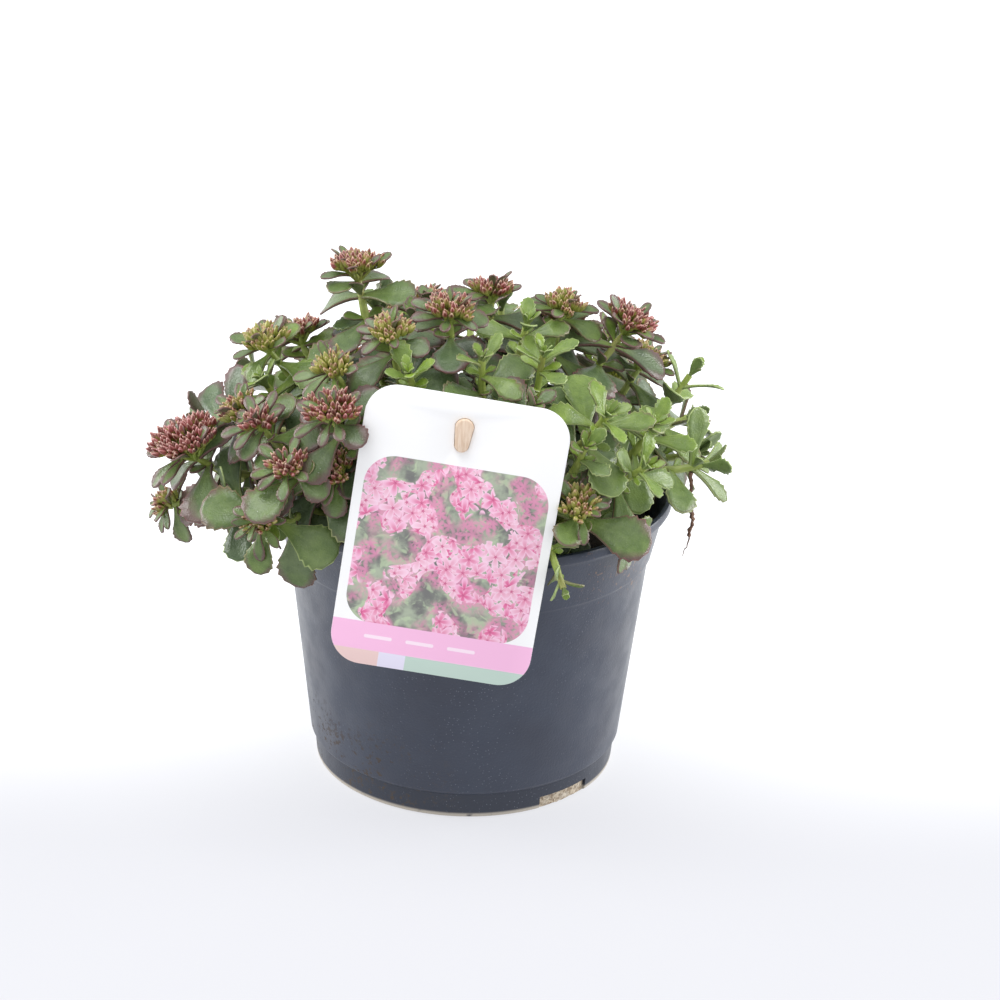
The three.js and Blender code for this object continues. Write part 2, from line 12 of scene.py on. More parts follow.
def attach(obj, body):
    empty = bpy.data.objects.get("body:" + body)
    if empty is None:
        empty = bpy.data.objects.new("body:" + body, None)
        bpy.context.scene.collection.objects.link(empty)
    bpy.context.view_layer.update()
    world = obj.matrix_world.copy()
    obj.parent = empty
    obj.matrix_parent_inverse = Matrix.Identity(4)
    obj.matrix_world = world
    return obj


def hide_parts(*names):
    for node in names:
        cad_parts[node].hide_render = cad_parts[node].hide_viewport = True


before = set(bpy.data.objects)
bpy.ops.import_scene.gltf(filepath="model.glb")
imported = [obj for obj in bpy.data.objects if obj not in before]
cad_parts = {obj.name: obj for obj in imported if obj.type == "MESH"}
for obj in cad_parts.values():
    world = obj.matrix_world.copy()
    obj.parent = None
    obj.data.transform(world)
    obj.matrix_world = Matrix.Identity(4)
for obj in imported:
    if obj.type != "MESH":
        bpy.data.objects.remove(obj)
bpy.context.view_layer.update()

MM = 0.001
GOLDEN_ANGLE = pi * (3 - sqrt(5))

# Sizes of the solids, in millimetres, as the part has them
POT = {"height": 95, "rim": 65, "base": 49.7, "wall": 1.3, "floor": 2.2}
BAND = {"bottom": 74, "lower": 59.4, "upper": 62.6, "step": 1}
LIP = {"height": 3, "flare": 2}
FOOT = {"height": 9, "top": 50.4, "step": 1.2}
NOTCH = {"azimuths": (-48, 132), "width": 20, "height": 4.6, "depth": 6}
DRAIN = {"count": 6, "radius": 4.5, "ring": 30}
SOIL = {"edge": 83, "crown": 5}
LABEL = {
    "width": 60, "height": 86, "corner": 9.5, "thick": 0.7, "at": (-5, -65, 103), "lean": 6, "turn": -7.7,
}
KEYHOLE = {"wide": 2.9, "narrow": 2.2, "length": 5.2, "x": -0.8, "y": 31, "proud": 1.2, "behind": 4}
STICK = {"width": 6.5, "thick": 1.6, "at": (-1, -59.4, 134), "above": 4, "below": 54, "lean": 3}
# Room between two pieces that touch, and how deep a stem stands in the soil
GAP = 0.32
IN_SOIL = 6


# Where the plant's stems, leaves and heads are

# Leaf pairs below a shoot's tip: distance from the tip, share of the longest leaf, lift in degrees
PAIRS = {
    "buds": [(1.6, 0.62, 10), (6, 0.94, 0), (14, 1, -6)],
    "rosette": [(0.8, 0.38, 66), (2.6, 0.6, 48), (6, 0.84, 28), (13, 1, 6)],
    "spray": [(0.8, 0.45, 64), (5, 0.7, 48), (12, 0.92, 30), (20, 1, 10)],
}
# Each stem's two shoots: end, tip, lean, turn of the pairs, longest leaf and, with buds, width of the head
FRONT_STEMS = [
    [("buds", -37, 4, 161, 5, 75, 21, 17), ("buds", -63, -16, 143, 14, 20, 20, 15)],
    [("buds", -7, -28, 158, 6, 100, 20, 14.5), ("rosette", -18, -50, 148, 12, 30, 17)],
    [("buds", 5, -2, 157, 4, 15, 20, 14), ("rosette", 16, -22, 156, 6, 60, 18)],
    [("buds", 27, -8, 155, 8, 0, 21, 13.5), ("buds", 47, -2, 148, 24, 90, 22, 17)],
    [("buds", -24, -38, 155, 10, 70, 21, 13), ("buds", -40, -46, 146, 16, 20, 18, 13)],
    [("buds", -39, -59, 136, 18, 80, 20, 16), ("buds", -38, -56, 118, 36, 10, 22, 13)],
    [("rosette", -64, -22, 135, 20, 10, 20), ("buds", -69, -34, 128, 28, 60, 19, 12)],
    [("buds", -62, -47, 129, 24, 30, 20, 11), ("buds", -52, -61, 121, 28, 85, 23, 12)],
    [("buds", -84, -34, 114, 24, 152, 24, 23), ("buds", -94, -20, 92, 52, 20, 20, 10)],
    [("buds", -60, -61, 104, 46, 0, 23, 12), ("rosette", -74, -46, 103, 66, 60, 22)],
    [("rosette", 3, -44, 151, 8, 50, 18), ("rosette", 18, -55, 141, 18, 10, 18)],
    [("rosette", 21, -38, 151, 8, 0, 20), ("rosette", 40, -48, 136, 14, 75, 22)],
    [("rosette", 34, -56, 129, 20, 20, 17), ("rosette", 52, -50, 121, 24, 65, 20)],
    [("buds", 33, -60, 110, 22, 140, 24, 14), ("rosette", 48, -54, 100, 62, 48, 22)],
    [("rosette", 55, -35, 129, 16, 35, 20), ("rosette", 75, -15, 110, 44, 0, 22)],
    [("spray", 69, 8, 131, 18, 65, 20), ("rosette", 73, 8, 104, 50, 20, 20)],
    [("rosette", -12, -59, 116, 36, 60, 20), ("rosette", -26, -60, 106, 50, 0, 20)],
    [("rosette", -19, -9, 152, 6, 40, 21), ("rosette", -15, 17, 149, 6, 80, 21)],
    [("rosette", 12, -59, 113, 34, 30, 20), ("rosette", 29, -70, 90, 150, 20, 12)],
]
# Tiers of shoots on the far side: how many, first and last azimuth, radius, height, lean, longest leaf
FAR_TIERS = {
    "low": (7, 22, 172, 79, 112, 34, 23),
    "middle": (7, 12, 164, 56, 131, 24, 21),
    "top": (4, 20, 160, 32, 147, 10, 20),
}
FAR = {"left": 4, "reach": 0.08, "height": 6, "turn": 45}
HEAD_WIDTHS = (16, 13, 15, 18)
# How fresh a front shoot is, how much purple its leaves carry, and how red its buds are
FRONT_TONES = [
    (0.4, 0.45, 0.6), (0.6, 0.25, 0.15), (0.15, 0.7, 0.6), (0.85, 0.05, 0), (0.2, 0.6, 0.75),
    (0.75, 0.1, 0), (0.4, 0.5, 0.4), (0.25, 0.75, 0.85), (0.3, 0.55, 0.35), (0.4, 0.45, 0.15),
    (0.2, 0.75, 0.85), (0.2, 0.6, 0.65), (0.85, 0.05, 0), (0.4, 0.55, 0.45), (0.2, 0.85, 0.95),
    (0.3, 0.45, 0.75), (0.2, 0.9, 1), (0.35, 0.6, 0.55), (0.45, 0.3, 0.35), (0.25, 0.2, 0),
    (0.65, 0.25, 0), (0.25, 0.55, 0), (0.8, 0.1, 0), (1, 0.05, 0), (0.55, 0.3, 0),
    (0.75, 0.2, 0), (0.45, 0.4, 0.25), (0.4, 0.3, 0), (0.85, 0.08, 0), (0.7, 0.15, 0),
    (1, 0.1, 0), (0.55, 0.2, 0), (0.35, 0.4, 0), (0.35, 0.3, 0), (0.2, 0.6, 0),
    (0.3, 0.5, 0), (0.4, 0.3, 0), (0.9, 0.1, 0),
]
BENDS = [
    (scale, turn, lift)
    for scale in (1, 0.8)
    for turn in (0, 15, -15, 30, -30)
    for lift in (0, 12, -12, 24, -24, 36)
]
LEAF = {"face": 0.45, "back": 1.15, "bend": 26, "cup": 0.16, "rib": 0.42, "small": 15.5}
LEAF_VARIES = {"lift": 9, "length": 0.1, "width": 0.12, "bend": 0.7}
LEAF_WIDTHS = {"buds": 0.6, "rosette": 0.54, "spray": 0.5}
LIGHT = {"outward": 0.45, "front": 0.6, "share": 0.9, "most": radians(65), "steepest": 45}
CORNERS = {
    "large": [(0.3, 0.4), (0.64, 0.96), (0.8, 0.96), (0.84, 0.72)],
    "small": [(0.55, 0.96), (0.86, 0.74)],
}
STEM_STEPS = 5
# A stem's foot: its share of the way out to the tips, less for a high stem, and its furthest place
STEM_FOOT = {"share": 0.62, "less": 0.0039, "level": 95, "furthest": 50}
# A shoot's curve: how steeply it starts, more for a low tip, where the second one forks, and its end
RISE = {"least": 0.45, "level": 125, "slope": 60, "fork": 0.1, "end": 0.28}

# Leaves that the solids don't have
# Older leaves lower on a stem, small ones where leaves meet it, and the heart of a rosette
OLDER = {"rows": 4, "below": 6, "apart": 7, "clear": 12, "share": 0.8, "less": 0.08, "lift": 16, "varies": 30}
SMALL = {"above": 0.5, "share": 0.34, "share_varies": 0.08, "lift": 40, "varies": 25}
HEART = {"count": 4, "below": 0.2, "shares": (0.27, 0.2), "lift": 74, "narrow": 0.8}
# How much fresher than its shoot a leaf is: each pair from the tip down, and the leaves above
FRESHER = {"buds": (0, -0.06, -0.12), "rosette": (0.2, 0, -0.2, -0.36), "spray": (0.2, 0, -0.2, -0.36)}
FRESHER |= {"older": -0.55, "small": 0.25, "heart": 0.3}
# A leaf is young and plump below one length, and has no teeth below the other
YOUNG = {"length": 19, "narrow": 0.86}
PLAIN_LENGTH = 9
# The room that those leaves leave round the label and the pot's rim
CLEAR = {"label": 1, "in_front": 14, "rim": 9, "pot": 1}
# Heads: bunches of buds, in shares of the head's radius, and the bracts round and among them
HEAD = {"radius": 0.54, "bunches": 0.15, "opens": 72, "height": 0.64, "crown": 0.27}
BUNCH = {"buds": 7, "spread": 2.2, "splay": 0.34, "low": 1.6}
BUD_SIZE = {"length": 4.1, "longer": 0.9, "width": 0.86, "wider": 0.14, "low": 0.6}
BRACTS = {"count": 9, "outer": 6, "per_head": 0.3, "among": 6.4, "varies": 1.8, "width": 0.36}
BRANCH = (0.95, 0.8, 0.62)


def vary(a, b, c):
    """A fixed value from -1 to 1 for each trio of whole numbers."""
    s = sin(a * 12.9898 + b * 78.233 + c * 37.719) * 43758.5453
    return 2 * (s - floor(s)) - 1


def pot_inner(z):
    """Inner radius of the pot's tapered wall."""
    low_z, low_r = FOOT["height"] + BAND["step"], FOOT["top"] + FOOT["step"]
    share = (z - low_z) / (BAND["bottom"] - low_z)
    return low_r + (BAND["lower"] - BAND["step"] - low_r) * share - POT["wall"]


def far_shoot(tier, index, ends):
    count, start, end, radius, z, lean, leaf = FAR_TIERS[tier]
    azimuth = radians(start + (end - start) * index / (count - 1))
    r = radius * (1 + FAR["reach"] * vary(index, radius, 1))
    x = floor(r * cos(azimuth) + 0.5) - FAR["left"]
    y = floor(r * sin(azimuth) + 0.5)
    height = floor(z + FAR["height"] * vary(index, radius, 2) + 0.5)
    turn = floor(FAR["turn"] * (1 + vary(index, radius, 3)) + 0.5)
    return (ends, x, y, height, lean, turn, leaf, HEAD_WIDTHS[index % 4] if ends == "buds" else 0)


def far_stems():
    stems = []
    for i in range(FAR_TIERS["low"][0]):
        upper = far_shoot("middle", i, "rosette" if i % 2 else "buds")
        stems.append([upper, far_shoot("low", i, "buds" if i % 3 == 1 else "rosette")])
    for i in range(0, FAR_TIERS["top"][0], 2):
        stems.append([far_shoot("top", i, "buds"), far_shoot("top", i + 1, "rosette")])
    return stems


def stem_foot(pair):
    """Where a stem stands in the soil."""
    middle = np.mean([s[1:4] for s in pair], axis=0)
    foot = middle[:2] * (STEM_FOOT["share"] - STEM_FOOT["less"] * (middle[2] - STEM_FOOT["level"]))
    reach = hypot(*foot)
    foot *= min(1, STEM_FOOT["furthest"] / reach)
    reach = min(reach, STEM_FOOT["furthest"])
    height = SOIL["edge"] + SOIL["crown"] * (1 - reach / pot_inner(SOIL["edge"])) - IN_SOIL
    return np.array([*foot, height])


def unit(vector):
    return vector / np.linalg.norm(vector)


class Shoot:
    """One shoot: its curve from where it starts to its tip, and the directions on it."""

    def __init__(self, number, stem, row, start):
        self.number, self.stem = number, stem
        self.ends, self.lean, self.turn, self.leaf = row[0], row[4], row[5], row[6]
        self.head = row[7] if len(row) > 7 else 0
        self.tip = np.array(row[1:4], float)
        rise = RISE["least"] + max(0, RISE["level"] - self.tip[2]) / RISE["slope"]
        self.heading = atan2(*(self.tip - start)[1::-1])
        lean = radians(self.lean)
        level = sin(lean)
        self.along = np.array(
            [level * cos(self.heading), level * sin(self.heading), cos(lean)]
        )
        reach = np.linalg.norm(self.tip - start)
        up = np.array([0, 0, rise * reach])
        self.controls = [start, start + up, self.tip - self.along * RISE["end"] * reach, self.tip]
        ts = np.linspace(0, 1, 201)
        points = self.at(ts)
        lengths = np.concatenate([[0], np.cumsum(np.linalg.norm(np.diff(points, axis=0), axis=1))])
        self.length = lengths[-1]
        self.joints = self.at(np.interp(np.linspace(0, self.length, STEM_STEPS + 1), lengths, ts))[::-1]
        self.tone = tone_of(number)

    def at(self, t):
        t = np.asarray(t, float)[..., None]
        a, b, c, d = self.controls
        return (1 - t) ** 3 * a + 3 * (1 - t) ** 2 * t * b + 3 * (1 - t) * t * t * c + t**3 * d

    def below_tip(self, below):
        """Point and direction on the stem, which is straight between its joints."""
        for upper, lower in zip(self.joints, self.joints[1:]):
            span = np.linalg.norm(upper - lower)
            if below < span or lower is self.joints[-1]:
                break
            below -= span
        return upper + (lower - upper) * below / span, (upper - lower) / span


def tone_of(number):
    if number <= len(FRONT_TONES):
        return FRONT_TONES[number - 1]
    fresh, flush, red = (vary(number, k, 20) for k in (1, 2, 3))
    return (0.45 + 0.3 * fresh, 0.4 + 0.3 * flush, 0.5 + 0.35 * red)


def grow_shoots():
    shoots = []
    for stem, pair in enumerate(FRONT_STEMS + far_stems()):
        start = stem_foot(pair)
        for row in pair:
            shoots.append(Shoot(len(shoots) + 1, stem + 1, row, start))
            start = shoots[-1].at(RISE["fork"]) if row is pair[0] else start
    return shoots


def turned_to_light(at, out, up):
    """The direction of a leaf's face once the leaf has turned on its base towards the light."""
    light = np.array([at[0], at[1], 0]) * LIGHT["outward"] / POT["rim"] + np.array([0, -LIGHT["front"], 1])
    light = unit(light - out * (light @ out))
    angle = atan2(np.cross(up, light) @ out, up @ light) * LIGHT["share"]
    angle = max(-LIGHT["most"], min(LIGHT["most"], angle))
    return up * cos(angle) + np.cross(out, up) * sin(angle)


class Leaf:
    """One leaf standing on a shoot. Its points are given by share of length, side and height."""

    def __init__(self, shoot, below, share, lift, azimuth, seed, scale=1.0, steep=False):
        self.at, axis = shoot.below_tip(below)
        across = np.array([-sin(shoot.heading), cos(shoot.heading), 0])
        across = unit(across - axis * (across @ axis))
        outward = np.cross(across, axis)
        radial = outward * cos(azimuth) + across * sin(azimuth)
        rise = radians(lift + LEAF_VARIES["lift"] * vary(*seed, 5))
        self.out = radial * cos(rise) + axis * sin(rise)
        self.up = axis * cos(rise) - radial * sin(rise)
        if not steep:
            self.up = turned_to_light(self.at, self.out, self.up)
        self.side = np.cross(self.up, self.out)
        self.length = shoot.leaf * share * (1 + LEAF_VARIES["length"] * vary(*seed, 6)) * scale
        self.width = self.length * LEAF_WIDTHS[shoot.ends] * (1 + LEAF_VARIES["width"] * vary(*seed, 7))
        self.bend = radians(LEAF["bend"] * (1 + LEAF_VARIES["bend"] * vary(*seed, 8)))
        self.seed = seed
        self.young = shoot.ends != "buds" and self.length < YOUNG["length"]

    def points(self, t, s, h):
        t, s, h = (np.asarray(x, float)[..., None] for x in (t, s, h))
        a = self.bend * t
        radius = self.length / self.bend
        normal = self.out * np.sin(a) + self.up * np.cos(a)
        half = s * self.width / 2
        arc = self.at + self.out * radius * np.sin(a) - self.up * radius * (1 - np.cos(a))
        return arc + self.side * half + normal * (LEAF["cup"] * half * s + h)

    def corners(self):
        outline = CORNERS["small" if self.length < LEAF["small"] else "large"]
        rows = [(1, 0, 0), (LEAF["rib"], 0, LEAF["face"]), (LEAF["rib"], 0, -LEAF["back"])]
        rows += [(t, side * share, 0) for t, share in outline for side in (1, -1)]
        return self.points(*zip(*rows))


def leaf_on(shoot, pair, side, bend):
    below, share, lift = PAIRS[shoot.ends][pair]
    which = pair * 2 + side
    scale, turn, more_lift = bend
    azimuth = radians(shoot.turn + 90 * pair + 180 * side + 10 * vary(shoot.number, which, 4) + turn)
    steep = lift >= LIGHT["steepest"]
    return Leaf(shoot, below, share, lift + more_lift, azimuth, (shoot.number, which), scale, steep)


def solid_corners(node):
    """A search tree over the corners of a solid, in millimetres."""
    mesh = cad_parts[node].data
    tree = KDTree(len(mesh.vertices))
    for vertex in mesh.vertices:
        tree.insert(vertex.co / MM, vertex.index)
    tree.balance()
    return tree


def leaves_of(shoot, tree):
    """The leaves of a shoot, each bent the way that the solid shows. Some have no room and aren't there."""
    close = 0.06
    found = []
    for pair in range(len(PAIRS[shoot.ends])):
        for side in (0, 1):
            best, most = None, 2
            for bend in BENDS:
                leaf = leaf_on(shoot, pair, side, bend)
                fits = sum(tree.find(corner)[2] < close for corner in leaf.corners())
                if fits > most:
                    best, most = leaf, fits
            if best:
                best.pair = pair
                found.append(best)
    return found


# Modelling tools

def only(*objs):
    """Selects just these objects and makes the first one active."""
    for obj in bpy.context.selected_objects:
        obj.select_set(False)
    for obj in objs:
        obj.select_set(True)
    bpy.context.view_layer.objects.active = objs[0]


@contextmanager
def editing(obj):
    """Edit mode on just this piece, with all of it selected."""
    only(obj)
    bpy.ops.object.mode_set(mode="EDIT")
    bpy.ops.mesh.select_all(action="SELECT")
    yield
    bpy.ops.object.mode_set(mode="OBJECT")


def added(name):
    """The piece that was added last, with its name."""
    obj = bpy.context.active_object
    obj.name = name
    return obj


def linked(name, data):
    """A new object in the scene, with its data."""
    obj = bpy.data.objects.new(name, data)
    bpy.context.scene.collection.objects.link(obj)
    return obj


def coat(obj, *finishes):
    """Gives a piece its finishes, in place of any that it has."""
    obj.data.materials.clear()
    for finish in finishes:
        obj.data.materials.append(finish)
    return obj


def modify(obj, kind, **settings):
    only(obj)
    modifier = obj.modifiers.new(kind.lower(), kind)
    for name, value in settings.items():
        setattr(modifier, name, value)
    bpy.ops.object.modifier_apply(modifier=modifier.name)


def settle(obj, place=None):
    """Puts a piece's place into its mesh and turns its faces outwards."""
    if place is not None:
        obj.matrix_world = place @ obj.matrix_world
    only(obj)
    bpy.ops.object.transform_apply()
    with editing(obj):
        bpy.ops.mesh.remove_doubles(threshold=1e-6)
        bpy.ops.mesh.normals_make_consistent(inside=False)
    return obj


def turned(name, profile, sides, size=MM, pointed=False):
    """A piece turned from rings of radius and height, with flat ends, or open below and pointed."""
    radius, height = profile[0]
    bpy.ops.mesh.primitive_circle_add(
        vertices=sides,
        radius=radius * size,
        location=(0, 0, height * size),
        fill_type="NOTHING" if pointed else "NGON",
    )
    obj = added(name)
    with editing(obj):
        for r, z in profile[1:]:
            bpy.ops.mesh.extrude_region_move(TRANSFORM_OT_translate={"value": (0, 0, (z - height) * size)})
            bpy.ops.transform.resize(value=(r / radius, r / radius, 1))
            radius, height = r, z
        if pointed:
            bpy.ops.mesh.merge(type="CENTER")
    return settle(obj)


def cut(obj, *cutters):
    """Takes the cutters out of a piece."""
    for cutter in cutters:
        modify(obj, "BOOLEAN", object=cutter, operation="DIFFERENCE", solver="EXACT")
        bpy.data.objects.remove(cutter)


def block(name, size, at, turn=(0, 0, 0)):
    bpy.ops.mesh.primitive_cube_add(
        size=1,
        location=[c * MM for c in at],
        rotation=[radians(a) for a in turn],
        scale=[c * MM for c in size],
    )
    return added(name)


def tube(name, points, radii, sides=8):
    """A round stem through points, thick as the radii say."""
    curve = bpy.data.curves.new(name, "CURVE")
    curve.dimensions = "3D"
    curve.bevel_depth = MM
    curve.bevel_resolution = max(0, sides // 4 - 1)
    curve.use_fill_caps = True
    spline = curve.splines.new("POLY")
    spline.points.add(len(points) - 1)
    for place, point, radius in zip(spline.points, points, radii):
        place.co = (*(point * MM), 1)
        place.radius = radius
    obj = linked(name, curve)
    only(obj)
    bpy.ops.object.convert(target="MESH")
    return obj


def copy_of(pattern, points, look):
    """A copy of a pattern with its own mesh, moved to points, with one look or a look for each vertex."""
    mesh = pattern.data.copy()
    mesh.vertices.foreach_set("co", (np.asarray(points) * MM).ravel())
    values = np.broadcast_to(look, (len(mesh.vertices), 4)).astype(float)
    mesh.attributes["look"].data.foreach_set("color", values.ravel())
    return linked(pattern.name, mesh)


def joined(name, parts):
    only(*parts)
    if len(parts) > 1:
        bpy.ops.object.join()
    obj = bpy.context.active_object
    obj.name = name
    obj.data.name = name
    return obj


def hand_in(obj, slot, *nodes, smooth=None):
    """Says what a finished piece rides on and the solids that it stands for. Its slot is not used."""
    if smooth is not None:
        only(obj)
        bpy.ops.object.shade_smooth_by_angle(angle=radians(smooth))
    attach(obj, "root")
    if nodes:
        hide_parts(*nodes)
    return obj


# Material tools

class Finish:
    """A material in the making. Each method adds a node and gives back its output."""

    def __init__(self, name):
        self.material = bpy.data.materials.new(name)
        self.material.use_nodes = True
        self.nodes = self.material.node_tree.nodes
        self.links = self.material.node_tree.links
        self.shader = self.nodes["Principled BSDF"]

    def put(self, socket, value):
        if isinstance(value, bpy.types.NodeSocket):
            self.links.new(value, socket)
        elif isinstance(value, tuple) and socket.type == "RGBA":
            socket.default_value = (*value, 1) if len(value) == 3 else value
        else:
            socket.default_value = value

    def node(self, kind, output=0, inputs=(), **settings):
        node = self.nodes.new("ShaderNode" + kind)
        for name, value in settings.items():
            setattr(node, name, value)
        for name, value in dict(inputs).items():
            self.put(node.inputs[name], value)
        return node.outputs[output]

    def math(self, operation, a, b=0.0, c=0.0):
        return self.node("Math", inputs={0: a, 1: b, 2: c}, operation=operation)

    def mix(self, factor, a, b):
        return self.node("Mix", 2, {0: factor, 6: a, 7: b}, data_type="RGBA", clamp_factor=True)

    def times(self, a, b):
        return self.math("MULTIPLY", a, b)

    def plus(self, a, b):
        return self.math("ADD", a, b)

    def scaled(self, value, by, start):
        return self.math("MULTIPLY_ADD", value, by, start)

    def ramp(self, value, low, high):
        """Rises evenly from 0 to 1 as value goes from low to high."""
        return self.node("MapRange", "Result", {"Value": value, "From Min": low, "From Max": high})

    def step(self, value, low, high, top=1.0, bottom=0.0):
        """Rises smoothly from bottom to top as value goes from low to high."""
        inputs = {"Value": value, "From Min": low, "From Max": high, "To Min": bottom, "To Max": top}
        return self.node("MapRange", "Result", inputs, interpolation_type="SMOOTHSTEP")

    def place(self):
        return self.node("TexCoord", "Object")

    def noise(self, scale, detail=3.0, rough=0.5, vector=None, distort=0.0):
        inputs = {
            "Vector": vector or self.place(),
            "Scale": scale,
            "Detail": detail,
            "Roughness": rough,
            "Distortion": distort,
        }
        return self.node("TexNoise", "Fac", inputs)

    def cells(self, scale, output="Distance", vector=None, random=1.0):
        inputs = {"Vector": vector or self.place(), "Scale": scale, "Randomness": random}
        return self.node("TexVoronoi", output, inputs)

    def parts(self, vector):
        node = self.nodes.new("ShaderNodeSeparateXYZ")
        self.put(node.inputs[0], vector)
        return node.outputs

    def done(self, color, rough, bump, **more):
        """The material with its shader set. bump is a height, its distance and its strength."""
        height, distance, strength = bump
        inputs = {"Height": height, "Distance": distance, "Strength": strength}
        normal = self.node("Bump", "Normal", inputs)
        for name, value in {"Base_Color": color, "Roughness": rough, "Normal": normal, **more}.items():
            self.put(self.shader.inputs[name.replace("_", " ")], value)
        return self.material

    def look(self):
        """The look that each vertex carries, as four numbers."""
        color = self.nodes.new("ShaderNodeAttribute")
        color.attribute_name = "look"
        split = self.nodes.new("ShaderNodeSeparateColor")
        self.links.new(color.outputs["Color"], split.inputs[0])
        return [*split.outputs, color.outputs["Alpha"]]

    def where(self):
        """Share of the half width, from 0 at the rib to 1 at the margin, and share of the length."""
        across, along, _ = self.parts(self.node("UVMap", uv_map="where"))
        return self.math("ABSOLUTE", self.math("MULTIPLY_ADD", across, 2.0, -1.0)), along


def leaf_finish():
    f = Finish("stonecrop_leaf")
    fresh, flush, tone, under = f.look()
    across, along = f.where()
    mottle = f.noise(240, 3, 0.65)
    old = f.mix(f.step(mottle, 0.3, 0.7), (0.050, 0.085, 0.033), (0.088, 0.132, 0.058))
    young = f.mix(f.step(mottle, 0.3, 0.7), (0.135, 0.222, 0.015), (0.232, 0.338, 0.036))
    color = f.mix(fresh, old, young)
    color = f.mix(f.times(tone, 0.22), color, (0.13, 0.18, 0.085))
    wedge = f.times(f.step(along, 0.46, 0.04), f.step(across, 1.1, 0.2, 0.85, 0.45))
    color = f.mix(wedge, color, f.mix(fresh, (0.20, 0.28, 0.085), (0.34, 0.46, 0.085)))
    vein = f.times(f.step(across, 0.16, 0.02), f.step(along, 0.85, 0.3, 0.35))
    color = f.mix(vein, color, f.mix(fresh, (0.17, 0.24, 0.10), (0.30, 0.42, 0.08)))
    # Pale speckle of papillae on the face, partly painted glint.
    grain = f.step(f.cells(1700), 0.30, 0.12, 0.2)
    color = f.mix(grain, color, f.mix(fresh, (0.24, 0.29, 0.19), (0.36, 0.45, 0.16)))
    # Grey-green patches of waxy bloom, partly painted sheen.
    color = f.mix(f.step(f.noise(55, 2, 0.6), 0.44, 0.66, 0.18), color, (0.19, 0.22, 0.15))
    ragged = f.scaled(f.noise(380, 2, 0.6), 0.5, -0.25)
    rim = f.plus(f.plus(across, ragged), f.step(along, 0.4, 1.0, 0.4, -0.22))
    inner = f.scaled(flush, -0.78, 1.10)
    purple = f.times(f.ramp(rim, inner, f.plus(inner, 0.5)), f.step(flush, 0.02, 0.3, 0.85))
    color = f.mix(purple, color, (0.130, 0.070, 0.072))
    # Margin: red-purple on flushed leaves; on fresh leaves pale, partly a painted edge highlight.
    edge = f.step(across, 0.91, 0.99, 0.8)
    color = f.mix(edge, color, f.mix(f.step(flush, 0.1, 0.5), (0.43, 0.52, 0.20), (0.19, 0.075, 0.072)))
    back = f.mix(f.times(flush, 0.8), (0.15, 0.21, 0.09), (0.17, 0.105, 0.105))
    color = f.mix(f.times(under, 0.65), color, back)
    drop = f.times(f.step(f.cells(620), 0.08, 0.05), f.step(f.noise(30, 1), 0.62, 0.68))
    color = f.mix(f.times(drop, 0.7), color, (0.80, 0.83, 0.80))
    height = f.plus(f.times(f.cells(1700), -0.45), f.times(f.noise(260, 2, 0.5), 0.8))
    rough = f.step(f.noise(700, 2), 0.3, 0.7, 0.40, 0.27)
    return f.done(color, rough, (height, 0.0003, 0.55), IOR=1.46)


def stem_finish():
    f = Finish("stonecrop_stem")
    streak = f.noise(220, 3, 0.6)
    color = f.mix(f.step(streak, 0.35, 0.65), (0.27, 0.35, 0.065), (0.40, 0.47, 0.13))
    color = f.mix(f.step(f.noise(60, 2), 0.5, 0.75, 0.4), color, (0.26, 0.15, 0.07))
    return f.done(color, 0.38, (f.noise(900, 3), 0.0002, 0.6))


def bud_finish():
    f = Finish("stonecrop_bud")
    red, tone, _, _ = f.look()
    around, along, _ = f.parts(f.node("UVMap", uv_map="where"))
    green = f.mix(tone, (0.22, 0.25, 0.035), (0.38, 0.38, 0.085))
    rosy = f.mix(tone, (0.115, 0.022, 0.016), (0.27, 0.058, 0.048))
    pale = f.mix(red, (0.56, 0.44, 0.20), f.mix(tone, (0.62, 0.42, 0.33), (0.70, 0.33, 0.34)))
    ridge = f.math("ABSOLUTE", f.math("SINE", f.times(around, 3 * pi)))
    start = f.scaled(red, -0.62, 0.80)
    color = f.mix(f.ramp(along, start, f.plus(start, 0.3)), green, rosy)
    lit = f.times(f.step(ridge, 0.55, 1.0, 0.5), f.step(along, 0.25, 0.85))
    color = f.mix(lit, color, pale)
    color = f.mix(f.step(along, 0.80, 0.98, 0.95), color, pale)
    return f.done(color, 0.34, (f.plus(ridge, f.noise(1500, 2)), 0.00015, 0.7))


